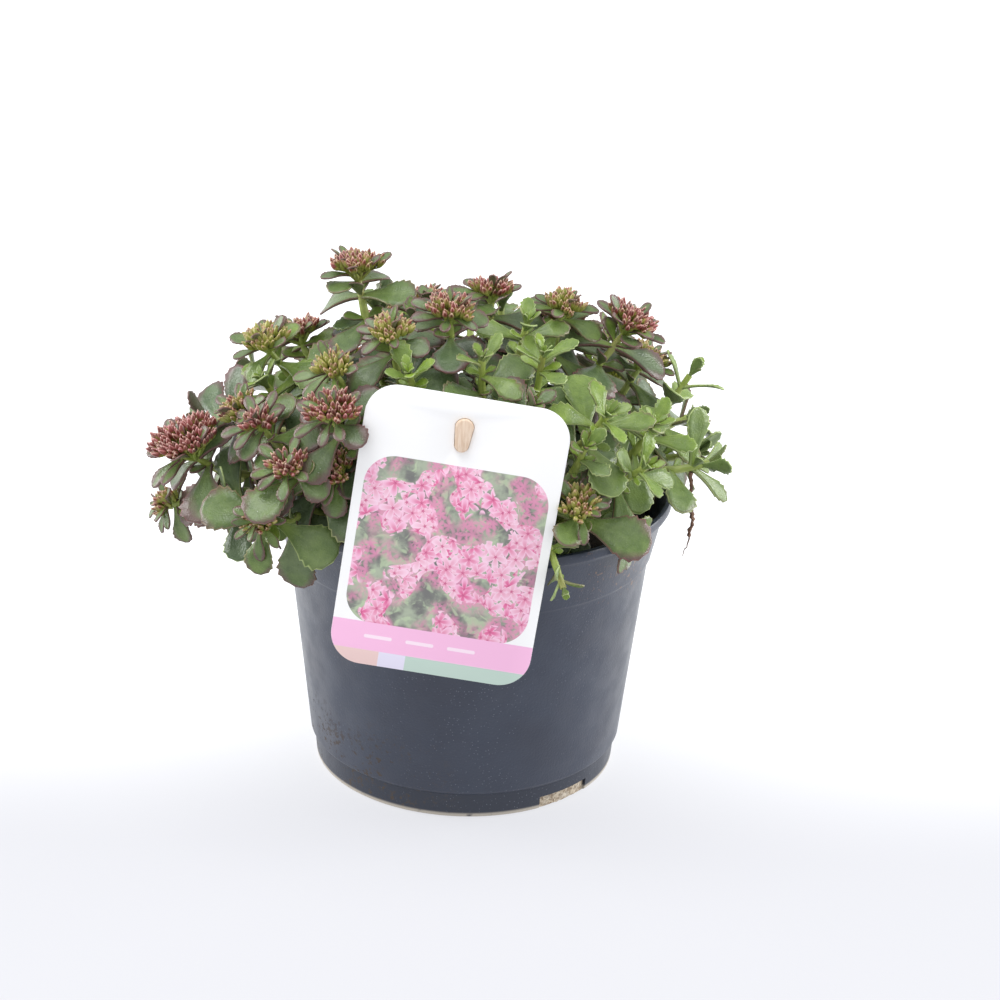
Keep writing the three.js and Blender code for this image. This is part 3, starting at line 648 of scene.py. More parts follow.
def pot_finish():
    f = Finish("pot_plastic")
    x, _, z = f.parts(f.place())
    cloudy = f.noise(45, 3, 0.6)
    color = f.mix(f.step(cloudy, 0.3, 0.7), (0.012, 0.019, 0.041), (0.017, 0.027, 0.053))
    # Painted shade: the foot below about 9 mm is darker, as if shaded under its inward step.
    color = f.mix(f.step(z, 0.0095, 0.0085, 0.8), color, (0.009, 0.014, 0.028))
    dust = f.times(f.step(f.cells(900), 0.20, 0.08), f.step(f.noise(60, 2), 0.40, 0.60))
    color = f.mix(f.times(dust, 0.45), color, (0.22, 0.24, 0.29))
    cloud = f.step(f.noise(26, 4, 0.7, distort=1.5), 0.5, 0.72)
    color = f.mix(f.times(cloud, f.step(z, 0.02, 0.09, 0.09)), color, (0.25, 0.27, 0.30))
    low_left = f.times(f.step(z, 0.036, 0.012), f.step(x, 0.004, -0.026))
    patchy = f.scaled(f.noise(70, 2), 0.35, -0.175)
    specks = f.step(f.plus(f.noise(520, 5, 0.75), patchy), 0.55, 0.61)
    dirt = f.times(specks, low_left)
    color = f.mix(dirt, color, (0.060, 0.043, 0.032))
    right = f.times(f.step(x, 0.032, 0.040), f.step(z, 0.068, 0.074))
    crumbs = f.step(f.plus(f.noise(620, 4, 0.7), patchy), 0.62, 0.66)
    color = f.mix(f.times(crumbs, right), color, (0.15, 0.085, 0.055))
    line = f.times(f.step(z, 0.0021, 0.0011), f.step(f.noise(240, 3), 0.18, 0.40))
    color = f.mix(f.times(line, 0.9), color, (0.46, 0.41, 0.34))
    satin = f.step(f.noise(120, 3), 0.3, 0.7, 0.42, 0.32)
    height = f.plus(f.noise(1400, 2), f.times(f.noise(60, 2), 2.0))
    return f.done(color, f.scaled(dirt, 0.5, satin), (height, 0.00012, 0.5), IOR=1.6)


def soil_finish():
    f = Finish("peat")
    _, _, z = f.parts(f.place())
    crumb = f.noise(500, 6, 0.7)
    color = f.mix(f.step(crumb, 0.35, 0.7), (0.012, 0.008, 0.006), (0.055, 0.036, 0.024))
    fibre = f.times(f.step(f.noise(380, 4, 0.6, distort=2.5), 0.5, 0.58), f.step(z, 0.02, 0.01))
    color = f.mix(fibre, color, (0.34, 0.26, 0.17))
    return f.done(color, 0.9, (crumb, 0.001, 1))


def wood_finish():
    f = Finish("stick_wood")
    stretch = f.node("Mapping", 0, {"Vector": f.place(), "Scale": (1, 1, 0.07)})
    grain = f.noise(1500, 4, 0.6, stretch, 0.4)
    color = f.mix(f.step(grain, 0.35, 0.65), (0.68, 0.50, 0.36), (0.80, 0.64, 0.50))
    return f.done(color, 0.6, (grain, 0.0001, 0.7))


def root_finish():
    f = Finish("dry_root")
    color = f.mix(f.step(f.noise(900, 4, 0.6), 0.35, 0.65), (0.09, 0.045, 0.028), (0.25, 0.14, 0.09))
    return f.done(color, 0.85, (f.noise(1500, 4), 0.0004, 1))


def mat_finish():
    f = Finish("root_mat")
    fibre = f.noise(600, 5, 0.65, distort=1.5)
    color = f.mix(f.step(fibre, 0.35, 0.62), (0.20, 0.14, 0.09), (0.55, 0.47, 0.36))
    color = f.mix(f.step(f.noise(260, 3), 0.5, 0.7, 0.6), color, (0.62, 0.57, 0.49))
    return f.done(color, 0.9, (fibre, 0.0006, 1))


def floor_finish():
    f = Finish("studio_floor")
    _, y, _ = f.parts(f.place())
    # Painted light: the floor is darker towards the front as painted falloff, and it glows, brighter at the
    # back, to wash out the shadows on it.
    back = f.step(y, -0.075, 0.085)
    color = f.mix(back, (0.15, 0.15, 0.155), (0.30, 0.30, 0.30))
    floor_painted_glow = f.mix(back, (0.64, 0.645, 0.68), (0.93, 0.94, 0.96))
    bump = (f.noise(40, 2), 0.0002, 0.1)
    return f.done(color, 0.9, bump, Specular_IOR_Level=0.1, Emission_Color=floor_painted_glow, Emission_Strength=1.0)


# The label's print, in millimetres from its middle: middle, half size, corner, and colour of the plain shapes
WINDOW = ((0, -4), (27.2, 26), 9)
PRINT = [
    ((0, -34), (31, 4.4), 0.2, (0.93, 0.52, 0.75)),
    *[((x, -34), (4.2, 0.55), 0.5, (0.97, 0.78, 0.88)) for x in (-16, -3.5, 9)],
    ((10, -41), (21, 2.6), 0.2, (0.53, 0.66, 0.58)),
    ((-24, -41), (9, 2.6), 0.2, (0.83, 0.60, 0.57)),
    ((-11, -41), (4, 2.6), 0.2, (0.78, 0.74, 0.88)),
]


def blossoms(f, place, spread, size, shift):
    """Pointed blossoms at random places: where one is, the share of its reach, and its own shade."""
    moved = f.node("VectorMath", 0, {0: place, 1: shift}, operation="ADD")
    centre = f.cells(spread, "Position", moved, random=0.9)
    own, tint, _ = f.parts(centre.node.outputs["Color"])
    dx, dy, _ = f.parts(f.node("VectorMath", 0, {0: moved, 1: centre}, operation="SUBTRACT"))
    reach = f.math("SQRT", f.plus(f.times(dx, dx), f.times(dy, dy)))
    angle = f.scaled(f.math("ARCTAN2", dy, dx), 2.5, f.times(own, 6.0))
    wave = f.math("POWER", f.math("ABSOLUTE", f.math("COSINE", angle)), 1.3)
    share = f.math("DIVIDE", reach, f.scaled(wave, size * 0.74, size * 0.26))
    return share, tint


def rounded_box(f, x, y, middle, half, corner):
    """1 inside a round-cornered box on the label, and 0 outside."""
    past = []
    for value, centre, reach in zip((x, y), middle, half):
        off = f.math("ABSOLUTE", f.math("SUBTRACT", value, centre))
        past.append(f.math("MAXIMUM", f.math("SUBTRACT", off, reach - corner), 0.0))
    squares = f.plus(f.times(past[0], past[0]), f.times(past[1], past[1]))
    return f.step(f.math("SQRT", squares), corner + 0.08, corner - 0.08)


def meadow(f, place):
    """The picture in the label's window: clusters of pink blossoms over soft grey-green leaves."""
    blur = f.noise(0.13, 4, 0.55, place)
    color = f.mix(f.step(blur, 0.36, 0.62), (0.10, 0.10, 0.09), (0.36, 0.42, 0.29))
    leafy = f.step(f.noise(0.24, 2, 0.5, place, 1.0), 0.52, 0.64, 0.75)
    color = f.mix(leafy, color, (0.44, 0.55, 0.33))
    far, _ = blossoms(f, place, 0.34, 3.0, (7, 3, 0))
    groups = f.noise(0.07, 1, 0.5, place)
    distant = f.step(f.noise(0.1, 1, 0.5, f.node("VectorMath", 0, {0: place, 1: (40, 0, 9)})), 0.44, 0.6)
    color = f.mix(f.times(f.step(far, 1.7, 0.2, 0.8), distant), color, (0.78, 0.22, 0.43))
    for shift, size, low in (((2, 5, 0), 3.9, 0.47), ((31, 17, 0), 4.4, 0.50)):
        share, tint = blossoms(f, place, 0.2, size, shift)
        petal = f.mix(f.step(share, 0.2, 0.95), (0.72, 0.06, 0.26), (0.93, 0.47, 0.68))
        petal = f.mix(f.times(tint, 0.55), petal, (0.98, 0.80, 0.88))
        petal = f.mix(f.step(share, 0.17, 0.09), petal, (0.55, 0.03, 0.18))
        inside = f.times(f.step(share, 1.05, 0.93), f.step(groups, low, low + 0.015))
        color = f.mix(inside, color, petal)
    return f.mix(0.1, color, (0.9, 0.9, 0.92))


def print_finish():
    """The label's print: generic blossoms in a window, a pink band and a footer of soft colours."""
    f = Finish("label_print")
    x, y, _ = f.parts(f.node("UVMap", uv_map="where"))
    x = f.scaled(x, LABEL["width"], -LABEL["width"] / 2)
    y = f.scaled(y, LABEL["height"], -LABEL["height"] / 2)
    picture = meadow(f, f.node("CombineXYZ", 0, {0: x, 1: y}))
    color = f.mix(rounded_box(f, x, y, *WINDOW), (0.95, 0.945, 0.94), picture)
    for middle, half, corner, tone in PRINT:
        color = f.mix(rounded_box(f, x, y, middle, half, corner), color, tone)
    return f.done(color, 0.5, (f.noise(700, 2), 0.00004, 0.4), IOR=1.45)


def card_finish():
    f = Finish("label_card")
    color = f.mix(f.noise(300, 2), (0.86, 0.85, 0.85), (0.92, 0.92, 0.91))
    return f.done(color, 0.45, (f.noise(700, 2), 0.00004, 0.4))


# Patterns that repeat: a leaf with teeth, a young leaf, a plain leaf and a bud

# Rows of a leaf: share of its length, and of its half width inside the margin and at it
TOOTHED_ROWS = [
    (-0.05, 0.12, 0.14), (0.08, 0.14, 0.16), (0.20, 0.20, 0.22), (0.32, 0.32, 0.35), (0.44, 0.50, 0.54),
    (0.53, 0.66, 0.70), (0.60, 0.78, 0.87), (0.63, 0.81, 0.82), (0.71, 0.87, 1.00), (0.74, 0.87, 0.89),
    (0.82, 0.82, 0.98), (0.85, 0.78, 0.82), (0.92, 0.60, 0.72), (0.95, 0.48, 0.50), (1.0, 0.16, 0.22),
]
YOUNG_ROWS = [
    (-0.05, 0.17, 0.19), (0.12, 0.20, 0.22), (0.28, 0.29, 0.32), (0.44, 0.46, 0.50), (0.57, 0.64, 0.71),
    (0.68, 0.78, 0.94), (0.715, 0.77, 0.78), (0.80, 0.73, 0.94), (0.84, 0.64, 0.66), (0.915, 0.48, 0.65),
    (0.95, 0.32, 0.37), (1.0, 0.08, 0.13),
]
PLAIN_ROWS = [
    (-0.05, 0.13, 0.15), (0.15, 0.22, 0.24), (0.35, 0.50, 0.53), (0.52, 0.78, 0.82), (0.68, 0.92, 0.97),
    (0.82, 0.82, 0.90), (0.93, 0.52, 0.60), (1.0, 0.12, 0.20),
]
# Rings of a bud: radius, and share of the bud's length or, below 0, of its stalk's
BUD_RINGS = [
    (0.42, -1), (0.34, -0.5), (0.4, 0), (0.78, 0.12), (1, 0.38), (0.82, 0.65), (0.42, 0.86), (0.05, 1),
]
COLUMNS = (-1, -0.55, 0, 0.55, 1)


def dress(obj, uvs, finish):
    """Gives a pattern its map of where each vertex is on it, an empty look and its finish."""
    mesh = obj.data
    layer = mesh.uv_layers.new(name="where")
    for polygon in mesh.polygons:
        first = uvs[polygon.vertices[0]][0]
        for loop, vertex in zip(polygon.loop_indices, polygon.vertices):
            u, v = uvs[vertex]
            layer.data[loop].uv = (u + round(first - u), v)
    mesh.attributes.new("look", "FLOAT_COLOR", "POINT")
    mesh.shade_smooth()
    return coat(obj, finish)


def leaf_pattern(name, rows, finish):
    """A leaf as a flat sheet: x is along it, y across it, and z is 1 on its face and -1 on its back."""
    along, across = len(rows) - 1, len(COLUMNS) - 1
    bpy.ops.mesh.primitive_grid_add(x_subdivisions=along, y_subdivisions=across, size=2)
    obj = added(name)
    modify(obj, "SOLIDIFY", thickness=2, offset=0)
    uvs = []
    for vertex in obj.data.vertices:
        row = round((vertex.co.x + 1) / 2 * along)
        side = COLUMNS[round((vertex.co.y + 1) / 2 * across)]
        t, inside, margin = rows[row]
        is_margin = abs(side) == 1 or row == along
        vertex.co.x = t
        vertex.co.y = side * (margin if is_margin else inside)
        uvs.append(((1.0 if is_margin else abs(side) * 0.9) / 2 + 0.5, t))
    return dress(obj, uvs, finish)


def bud_pattern(name, finish):
    """A bud on its stalk, with six sides."""
    obj = turned(name, BUD_RINGS, 6, size=1, pointed=True)
    uvs = [(atan2(v.co.y, v.co.x) / (2 * pi), v.co.z) for v in obj.data.vertices]
    return dress(obj, uvs, finish)


def coordinates(pattern):
    values = np.zeros(len(pattern.data.vertices) * 3)
    pattern.data.vertices.foreach_get("co", values)
    return values.reshape(-1, 3)


def leaf_copy(leaf, tone, fresher=0.0):
    """One leaf bent into place, thick in the middle and thin at its margin."""
    if leaf.young:
        pattern = YOUNG_LEAF
    else:
        pattern = PLAIN_LEAF if leaf.length < PLAIN_LENGTH else TOOTHED_LEAF
    t, s, z = coordinates(pattern).T
    size = min(1.0, leaf.length / 20)
    middle = np.clip(1 - s * s, 0, 1) ** 0.5
    body = 0.34 + 0.66 * middle * np.clip(1.2 - t, 0.3, 1)
    thick = np.where(z > 0, 0.42, -0.80) * body * (0.55 + 0.45 * size)
    wavy = 0.35 * s * s * np.sin(9 * t + 6 * vary(*leaf.seed, 11)) * size
    points = leaf.points(t, s * (YOUNG["narrow"] if leaf.young else 1), thick + wavy)
    look = [
        np.clip(tone[0] + fresher + 0.12 * vary(*leaf.seed, 12), 0, 1),
        np.clip(tone[1] + 0.22 * vary(*leaf.seed, 13), 0, 1),
        0.5 + 0.5 * vary(*leaf.seed, 14),
    ]
    return copy_of(pattern, points, np.column_stack([np.tile(look, (len(z), 1)), z < 0]))


def stem_tube(shoot):
    """The stem through its joints, a little uneven and thinner at its tip."""
    steps = 16
    points, radii = [], []
    for step in range(steps + 1):
        share = step / steps
        points.append(shoot.below_tip(shoot.length * share * 0.999)[0])
        radii.append(1.05 + 0.5 * min(1, share * 2.5) + 0.12 * vary(shoot.number, step, 15))
    inner = [(a + 2 * b + c) / 4 for a, b, c in zip(points, points[1:], points[2:])]
    obj = tube("stem", [points[0], *inner, points[-1]], radii)
    obj.data.shade_smooth()
    return coat(obj, STEM_FINISH)


def is_free(leaf):
    """Whether a leaf stays behind the label and off the pot's rim."""
    to_label = np.array(label_place().inverted())
    points = np.array([leaf.points(t, side, 0) for t in (0.1, 0.4, 0.7, 1) for side in (-0.9, 0, 0.9)])
    x, y, z = (points @ to_label[:3, :3].T + to_label[:3, 3] / MM).T
    room = CLEAR["label"]
    on_label = (abs(x) < LABEL["width"] / 2 + room) & (abs(y) < LABEL["height"] / 2 + room)
    on_label &= (z > -room) & (z < CLEAR["in_front"])
    reach = np.hypot(points[:, 0], points[:, 1])
    on_pot = (reach > POT["rim"] - CLEAR["rim"]) & (reach < POT["rim"] + CLEAR["pot"])
    on_pot &= points[:, 2] < POT["height"] + CLEAR["pot"]
    return not (on_label.any() or on_pot.any())


def filler_leaves(shoot):
    """The leaves that the solids don't have, each with how much fresher than its shoot it is."""
    leaves = []

    def add(which, kind, below, share, lift, turn, varies=0, steep=False):
        seed = (shoot.number, which)
        azimuth = radians(shoot.turn + turn + varies * vary(*seed, 4))
        leaves.append((Leaf(shoot, below, share, lift, azimuth, seed, steep=steep), FRESHER[kind]))

    for row in range(OLDER["rows"]):
        below = PAIRS[shoot.ends][-1][0] + OLDER["below"] + OLDER["apart"] * row
        if below > shoot.length - OLDER["clear"]:
            break
        share = OLDER["share"] - OLDER["less"] * row
        for side in (0, 1):
            turn = 90 * (row + 1) + 180 * side
            add(20 + row * 2 + side, "older", below, share, OLDER["lift"], turn, OLDER["varies"])
    for pair, row in enumerate(PAIRS[shoot.ends][-2:]):
        for side in (0, 1):
            which = 60 + pair * 2 + side
            share = SMALL["share"] + SMALL["share_varies"] * vary(shoot.number, which, 9)
            turn = 45 + 90 * pair + 180 * side
            add(which, "small", row[0] - SMALL["above"], share, SMALL["lift"], turn, SMALL["varies"])
    for side in range(HEART["count"] if shoot.ends != "buds" else 0):
        share = HEART["shares"][side % 2]
        add(70 + side, "heart", HEART["below"], share, HEART["lift"], 45 + 90 * side, steep=True)
        leaves[-1][0].width *= HEART["narrow"]
    return [(leaf, fresher) for leaf, fresher in leaves if is_free(leaf)]


def make_stems(shoots):
    for stem in sorted({shoot.stem for shoot in shoots}):
        node = f"leafy_stem_{stem:02d}"
        tree = solid_corners(node)
        parts = []
        for shoot in shoots:
            if shoot.stem == stem:
                parts.append(stem_tube(shoot))
                leaves = [(leaf, FRESHER[shoot.ends][leaf.pair]) for leaf in leaves_of(shoot, tree)]
                leaves += filler_leaves(shoot)
                parts += [leaf_copy(leaf, shoot.tone, fresher) for leaf, fresher in leaves]
        hand_in(joined(f"stonecrop_{stem:02d}", parts[::-1]), "foliage", node)


def bunch_places(r, number):
    """Where the bunches of a head are: the top of each one, and the direction that it faces."""
    count = 1 + round(HEAD["bunches"] * r * r)
    places = []
    for k in range(count):
        polar = radians(HEAD["opens"]) * sqrt((k + 0.3) / count)
        azimuth = k * GOLDEN_ANGLE + number
        outward = np.array([cos(azimuth), sin(azimuth), 0])
        reach = r * (0.95 + 0.1 * vary(number, k, 41))
        height = HEAD["height"] * r + HEAD["crown"] * r * cos(polar) + 0.7 * vary(number, k, 42)
        facing = outward * sin(0.5 * polar) + np.array([0, 0, cos(0.5 * polar)])
        places.append((outward * reach * sin(polar) + np.array([0, 0, height]), facing))
    return places


def bud_copy(tip, axis, root, length, width, turn, shoot, seed):
    """One bud with its tip in place and its stalk drawn down to its root, in the head's own directions."""
    side = unit(np.cross(axis, [0.3, 0.9, 0.1]))
    other = np.cross(axis, side)
    base = tip - axis * length
    pattern = coordinates(BUD)
    z = pattern[:, 2:]
    line = np.where(z >= 0, base + axis * length * z, base * (1 + z) - root * z)
    ring = side * pattern[:, :1] * width + other * pattern[:, 1:2] * width
    points = (line + ring) @ turn.T + shoot.tip
    red = np.clip(shoot.tone[2] + 0.3 * vary(shoot.number, seed, 21), 0, 1)
    return copy_of(BUD, points, (red, 0.5 + 0.5 * vary(shoot.number, seed, 22), 0, 0))


def bracts(shoot):
    """Small leaves that stand out round a head and among its buds."""
    r = shoot.head / 2
    leaves = []
    for i in range(BRACTS["count"]):
        seed = (shoot.number, 40 + i)
        among = i % 3 == 2
        lift = 62 if among else 22 + 12 * vary(*seed, 3) + 2.2 * max(0, shoot.head - 15)
        leaf = Leaf(shoot, 0.6, 0.4, lift, i * GOLDEN_ANGLE + shoot.number, seed, steep=among)
        length = BRACTS["among"] if among else BRACTS["outer"] + BRACTS["per_head"] * shoot.head
        leaf.length = length + BRACTS["varies"] * vary(*seed, 6)
        leaf.width = leaf.length * BRACTS["width"]
        level = leaf.out - shoot.along * (leaf.out @ shoot.along)
        up, out = (0.5, 0.42) if among else (0.16, 0.28)
        leaf.at = shoot.tip + shoot.along * up * r + level * out * r
        leaves.append(leaf)
    return [leaf for leaf in leaves if is_free(leaf)]


def make_head(shoot):
    """A flat head of bunches, each a few buds on a branch, with small leaves round and among them."""
    r, number = shoot.head * HEAD["radius"], shoot.number
    turn = np.array(Vector((0, 0, 1)).rotation_difference(Vector(shoot.along)).to_matrix())
    parts = []
    for k, (centre, facing) in enumerate(bunch_places(r, number)):
        side = unit(np.cross(facing, [0.2, 0.1, 1.0]))
        other = np.cross(facing, side)
        root = centre * 0.5 - np.array([0, 0, 0.12 * r])
        knee = root * 0.5 + np.array([0, 0, -0.05 * r])
        route = [point @ turn.T + shoot.tip for point in (np.array([0, 0, -0.8]), knee, root)]
        parts.append(coat(tube("branch", route, BRANCH), STEM_FINISH))
        ring = BUNCH["buds"] - 1 + k % 2
        for j in range(ring + 1):
            seed = 100 * k + j
            azimuth = j * 2 * pi / ring + 0.4 * vary(number, seed, 16)
            spread = (BUNCH["spread"] + 0.4 * vary(number, seed, 17)) if j else 0
            around = side * cos(azimuth) + other * sin(azimuth)
            is_low = j and j % 4 == 0
            rise = 0.85 * vary(number, seed, 18) - (BUNCH["low"] if is_low else 0)
            tip = centre + around * spread + facing * rise
            splay = around * (BUNCH["splay"] if j else 0)
            axis = unit(facing + splay + 0.2 * vary(number, seed, 20) * side)
            length = BUD_SIZE["length"] + BUD_SIZE["longer"] * vary(number, seed, 10)
            length -= BUD_SIZE["low"] if is_low else 0
            width = BUD_SIZE["width"] + BUD_SIZE["wider"] * vary(number, seed, 19)
            parts.append(bud_copy(tip, axis, root, length, width, turn, shoot, seed))
    for leaf in bracts(shoot):
        parts.append(leaf_copy(leaf, (0.3, 0.45 + 0.6 * shoot.tone[1], 0)))
    name = f"{number:02d}"
    hand_in(joined(f"buds_{name}", parts[::-1]), "flower_buds", f"bud_head_{name}")


# The pot and what is in it

def pot_profile():
    """Rings of radius and height: up the outside from the base, over the lip and down the inside."""
    base, foot, wall = POT["base"], FOOT["top"], POT["wall"]
    rim, top = POT["rim"], POT["height"]
    lower, upper, band_z = BAND["lower"], BAND["upper"], BAND["bottom"]
    foot_z, step_z = FOOT["height"] + BAND["step"], band_z + BAND["step"]
    lip_z = top - LIP["height"]
    neck_z = lip_z - LIP["flare"]
    return [
        (base - 0.8, 0), (base, 0.6), (foot, FOOT["height"] - 0.3), (foot + 0.35, FOOT["height"]),
        (foot + FOOT["step"] - 0.3, foot_z - 0.25), (foot + FOOT["step"], foot_z + 0.3),
        (lower - BAND["step"], band_z - 0.2), (lower - 0.25, step_z - 0.2), (lower, step_z + 0.3),
        (upper, neck_z - 0.2), (upper + 0.4, neck_z + 0.4), (rim - 0.4, lip_z - 0.4), (rim, lip_z + 0.3),
        (rim, top - 0.6), (rim - 0.25, top - 0.15), (rim - 0.7, top), (rim - wall - 0.2, top),
        (rim - wall - 0.5, top - 0.3), (upper - wall, neck_z + 0.5), (lower - wall, step_z),
        (pot_inner(band_z), band_z), (pot_inner(foot_z), foot_z), (base - wall, POT["floor"] + 0.6),
        (base - wall - 0.8, POT["floor"]),
    ]


def on_ring(radius, angle):
    return (radius * cos(angle), radius * sin(angle), 0)


def make_pot():
    pot = turned("nursery_pot", pot_profile(), 160)
    notch = (NOTCH["depth"] * 2, NOTCH["width"], NOTCH["height"] * 2)
    cutters = []
    for azimuth in NOTCH["azimuths"]:
        at = on_ring(POT["base"], radians(azimuth))
        cutters.append(block("notch", notch, at, (0, 0, azimuth)))
    for i in range(DRAIN["count"]):
        bpy.ops.mesh.primitive_cylinder_add(
            vertices=24,
            radius=DRAIN["radius"] * MM,
            depth=POT["floor"] * 4 * MM,
            location=on_ring(DRAIN["ring"] * MM, 2 * pi * i / DRAIN["count"]),
        )
        cutters.append(added("drain"))
    cut(pot, *cutters)
    hand_in(coat(pot, pot_finish()), "pot_plastic", "pot", smooth=32)


def make_soil():
    """The root ball, with a crumbly top."""
    edge = pot_inner(SOIL["edge"]) - GAP
    foot_z = FOOT["height"] + BAND["step"]
    shares = np.linspace(1, 0.04, 24)
    profile = [
        (POT["base"] - POT["wall"] - GAP, POT["floor"] + GAP), (pot_inner(foot_z) - GAP, foot_z + GAP),
        (pot_inner(BAND["bottom"]) - GAP, BAND["bottom"] + GAP),
        *[(edge * share, SOIL["edge"] + SOIL["crown"] * (1 - share**2)) for share in shares],
    ]
    soil = turned("peat_soil", profile, 96)
    crumbs = bpy.data.textures.new("crumbs", "CLOUDS")
    crumbs.noise_scale = 0.004
    crumbs.noise_depth = 3
    top = soil.vertex_groups.new(name="top")
    top.add([v.index for v in soil.data.vertices if v.co.z > SOIL["edge"] * MM + 1e-5], 1, "REPLACE")
    modify(soil, "DISPLACE", texture=crumbs, strength=0.003, mid_level=0.6, vertex_group="top")
    hand_in(coat(soil, soil_finish()), "potting_soil", "soil", smooth=60)


def make_root_mat():
    """The felt of roots that shows behind each notch in the pot's foot."""
    inner = POT["base"] - POT["wall"] - GAP / 2
    depth, width, height = POT["wall"] - 0.5, NOTCH["width"] - 0.5, NOTCH["height"] - 0.5
    felt = bpy.data.textures.new("felt", "CLOUDS")
    felt.noise_scale = 0.0016
    mats = []
    for azimuth in NOTCH["azimuths"]:
        mat = settle(block("mat", (depth, width, height), (inner + depth / 2, 0, height / 2 + 0.3)))
        with editing(mat):
            bpy.ops.mesh.subdivide(number_cuts=18)
        for vertex in mat.data.vertices:
            angle = vertex.co.y / (POT["base"] * MM)
            vertex.co.y = vertex.co.x * sin(angle)
            vertex.co.x = vertex.co.x * cos(angle)
        modify(mat, "DISPLACE", texture=felt, strength=0.0007, mid_level=0.6)
        mats.append(settle(mat, Matrix.Rotation(radians(azimuth), 4, "Z")))
    hand_in(coat(joined("root_mat", mats), mat_finish()), "root", smooth=50)


# The label and its stick

def label_place():
    lean = Matrix.Rotation(radians(90 - LABEL["lean"]), 4, "X")
    turn = Matrix.Rotation(radians(LABEL["turn"]), 4, "Z")
    return Matrix.Translation([c * MM for c in LABEL["at"]]) @ lean @ turn


def keyhole_plate(name, margin, low, high):
    """An egg-shaped plate: wider at its top than at its bottom."""
    bpy.ops.mesh.primitive_circle_add(vertices=40, radius=MM, fill_type="NGON")
    obj = added(name)
    for vertex in obj.data.vertices:
        end, way = ("wide", 0.5) if vertex.co.y > 0 else ("narrow", -0.5)
        radius = KEYHOLE[end] + margin
        vertex.co.x = vertex.co.x * radius + KEYHOLE["x"] * MM
        vertex.co.y = vertex.co.y * radius + (KEYHOLE["length"] * way + KEYHOLE["y"]) * MM
        vertex.co.z = low * MM
    with editing(obj):
        bpy.ops.mesh.extrude_region_move(TRANSFORM_OT_translate={"value": (0, 0, (high - low) * MM)})
    return settle(obj)


def make_label():
    width, height, thick = (LABEL[k] * MM for k in ("width", "height", "thick"))
    bpy.ops.mesh.primitive_plane_add(size=1)
    label = added("picture_label")
    label.scale = (width, height, 1)
    only(label)
    bpy.ops.object.transform_apply()
    with editing(label):
        bpy.ops.mesh.bevel(offset=LABEL["corner"] * MM, segments=14, affect="VERTICES")
    modify(label, "SOLIDIFY", thickness=thick, offset=1)
    cut(label, keyhole_plate("hole", 0, -2, 3))
    modify(label, "BEVEL", width=0.00012, segments=2, limit_method="ANGLE")
    layer = label.data.uv_layers.new(name="where")
    for loop in label.data.loops:
        co = label.data.vertices[loop.vertex_index].co
        layer.data[loop.index].uv = (co.x / width + 0.5, co.y / height + 0.5)
    label.data.uv_layers.active = layer
    coat(label, print_finish(), card_finish())
    for polygon in label.data.polygons:
        polygon.material_index = 0 if polygon.normal.z > 0.7 else 1
    label.matrix_world = label_place()
    only(label)
    bpy.ops.object.transform_apply()
    hand_in(label, "label_card", "label", smooth=35)


def make_stick():
    above, below = STICK["above"], STICK["below"]
    size = (STICK["width"], STICK["thick"], above + below)
    shaft = settle(block("shaft", size, (0, 0, (above - below) / 2)))
    modify(shaft, "BEVEL", width=0.0004, segments=3)
    lean = Matrix.Rotation(radians(STICK["lean"]), 4, "X")
    settle(shaft, Matrix.Translation([c * MM for c in STICK["at"]]) @ lean)
    thick = LABEL["thick"]
    knob = keyhole_plate("knob", -GAP / 2, thick - KEYHOLE["behind"], thick + KEYHOLE["proud"])
    modify(knob, "BEVEL", width=0.0005, segments=3, limit_method="ANGLE")
    settle(knob, label_place())
    stick = coat(joined("wooden_stick", [shaft, knob]), wood_finish())
    hand_in(stick, "stick_wood", "label_stick", smooth=40)


# The air root: the shoot that it hangs from, how far along, its route down from there, and its thickness
AIR_ROOT = {"shoot": 30, "along": 0.84, "stem": 1.3, "steps": 5, "thick": 0.62, "varies": 0.24}
AIR_ROUTE = [
    (0, 0, 1), (0.9, 1, -4), (-0.3, 1.6, -8), (1.3, 2.4, -12), (1.9, 3, -16), (1.3, 3.4, -21),
    (0.9, 3.2, -25), (-0.6, 3, -29),
]
AIR_HAIR = {"from": 27, "thick": 0.3, "thinner": 0.022}


def make_air_root(shoots):
    """A dry root that hangs from a low shoot beside the pot, knobbly at first and then a hair."""
    top = shoots[AIR_ROOT["shoot"] - 1].at(AIR_ROOT["along"])
    top[2] -= AIR_ROOT["stem"] + 1.5 * GAP
    route = [top + np.array(step) for step in AIR_ROUTE]
    steps = AIR_ROOT["steps"]
    points = [a + (b - a) * k / steps for a, b in zip(route, route[1:]) for k in range(steps)]
    points.append(route[-1])
    radii = []
    for i in range(len(points)):
        hair = i - AIR_HAIR["from"]
        knob = AIR_ROOT["thick"] + AIR_ROOT["varies"] * vary(i, 3, 30)
        radii.append(knob if hair < 0 else AIR_HAIR["thick"] - AIR_HAIR["thinner"] * hair)
    points = [p + 0.3 * np.array([vary(i, 1, 31), vary(i, 2, 31), 0]) for i, p in enumerate(points)]
    hand_in(coat(tube("air_root_fine", points, radii), root_finish()), "root", "air_root", smooth=60)


# The studio

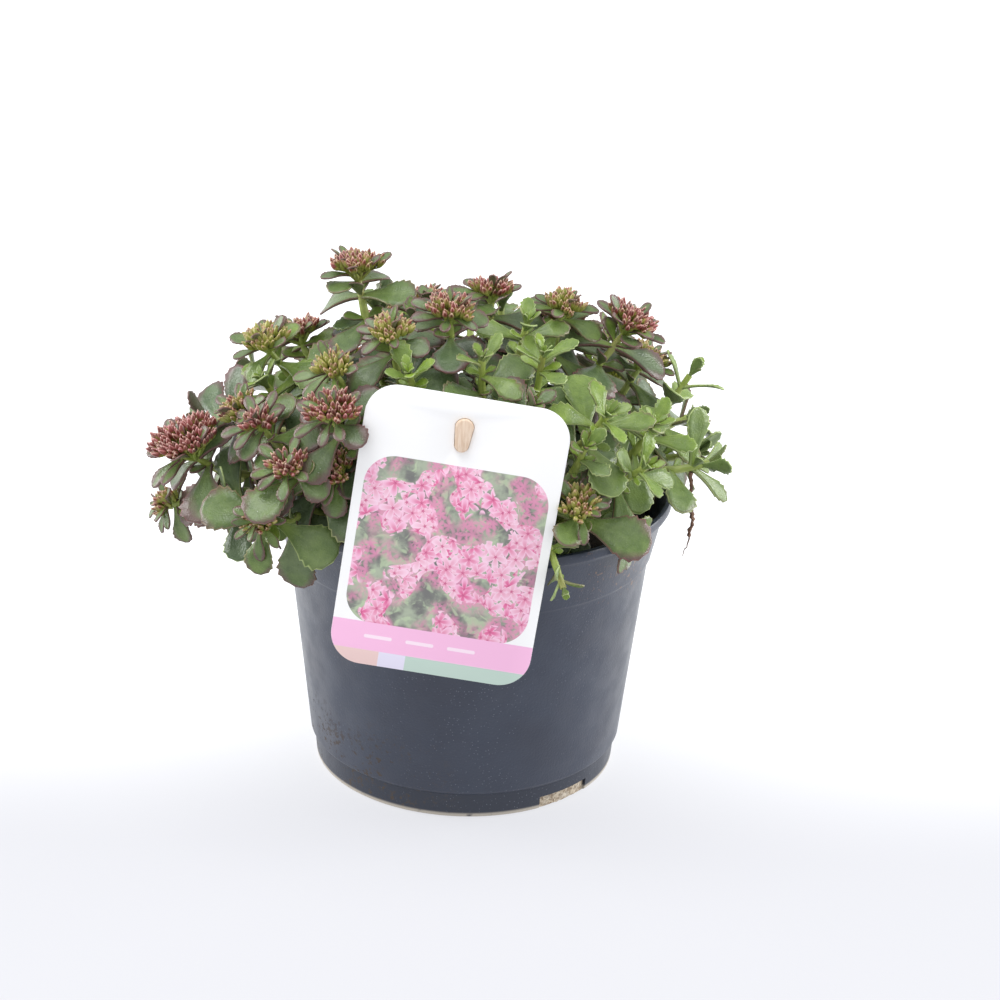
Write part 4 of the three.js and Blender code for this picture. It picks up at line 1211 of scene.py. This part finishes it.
# Soft studio light, and a camera at the photograph's viewing angle, in metres and degrees
SKY = {"color": (0.95, 0.97, 1, 1), "strength": 0.95}
LIGHTS = {
    "top_light": ((-0.25, -0.15, 1.2), 0.9, 8.5),
    "left_light": ((-1.1, 0.20, 0.40), 0.8, 9),
    "right_light": ((1.1, 0.20, 0.40), 0.8, 11),
}
LIT_PLACE = Vector((0, 0, 0.1))
CAMERA = {"at": (0.0096, -0.6493, 0.3507), "down": 21.94, "roll": 1.79, "lens": 77.87, "sensor": 36}


def make_studio():
    bpy.ops.mesh.primitive_plane_add(size=9, location=(0, 0, -0.0002))
    coat(added("studio_floor"), floor_finish())

    scene = bpy.context.scene
    scene.view_settings.view_transform = "Standard"
    scene.world = bpy.data.worlds.new("studio")
    scene.world.use_nodes = True
    sky = scene.world.node_tree.nodes["Background"].inputs
    sky["Color"].default_value = SKY["color"]
    sky["Strength"].default_value = SKY["strength"]

    for name, (at, size, power) in LIGHTS.items():
        light = bpy.data.lights.new(name, "AREA")
        light.shape = "DISK"
        light.size = size
        light.energy = power
        lamp = linked(name, light)
        lamp.location = at
        lamp.rotation_euler = (LIT_PLACE - Vector(at)).to_track_quat("-Z", "Y").to_euler()

    lens = bpy.data.cameras.new("camera")
    lens.lens = CAMERA["lens"]
    lens.sensor_width = CAMERA["sensor"]
    lens.clip_start = 0.01
    camera = linked("camera", lens)
    down = Matrix.Rotation(radians(90 - CAMERA["down"]), 4, "X")
    roll = Matrix.Rotation(radians(CAMERA["roll"]), 4, "Z")
    camera.matrix_world = Matrix.Translation(CAMERA["at"]) @ down @ roll
    scene.camera = camera


bpy.ops.object.select_all(action="DESELECT")
make_studio()
STEM_FINISH, LEAF_FINISH = stem_finish(), leaf_finish()
TOOTHED_LEAF = leaf_pattern("toothed_leaf", TOOTHED_ROWS, LEAF_FINISH)
YOUNG_LEAF = leaf_pattern("young_leaf", YOUNG_ROWS, LEAF_FINISH)
PLAIN_LEAF = leaf_pattern("plain_leaf", PLAIN_ROWS, LEAF_FINISH)
BUD = bud_pattern("bud", bud_finish())

shoots = grow_shoots()
make_pot()
make_soil()
make_root_mat()
make_label()
make_stick()
make_air_root(shoots)
make_stems(shoots)
for shoot in shoots:
    if shoot.head:
        make_head(shoot)
for pattern in (TOOTHED_LEAF, PLAIN_LEAF, YOUNG_LEAF, BUD):
    bpy.data.objects.remove(pattern)
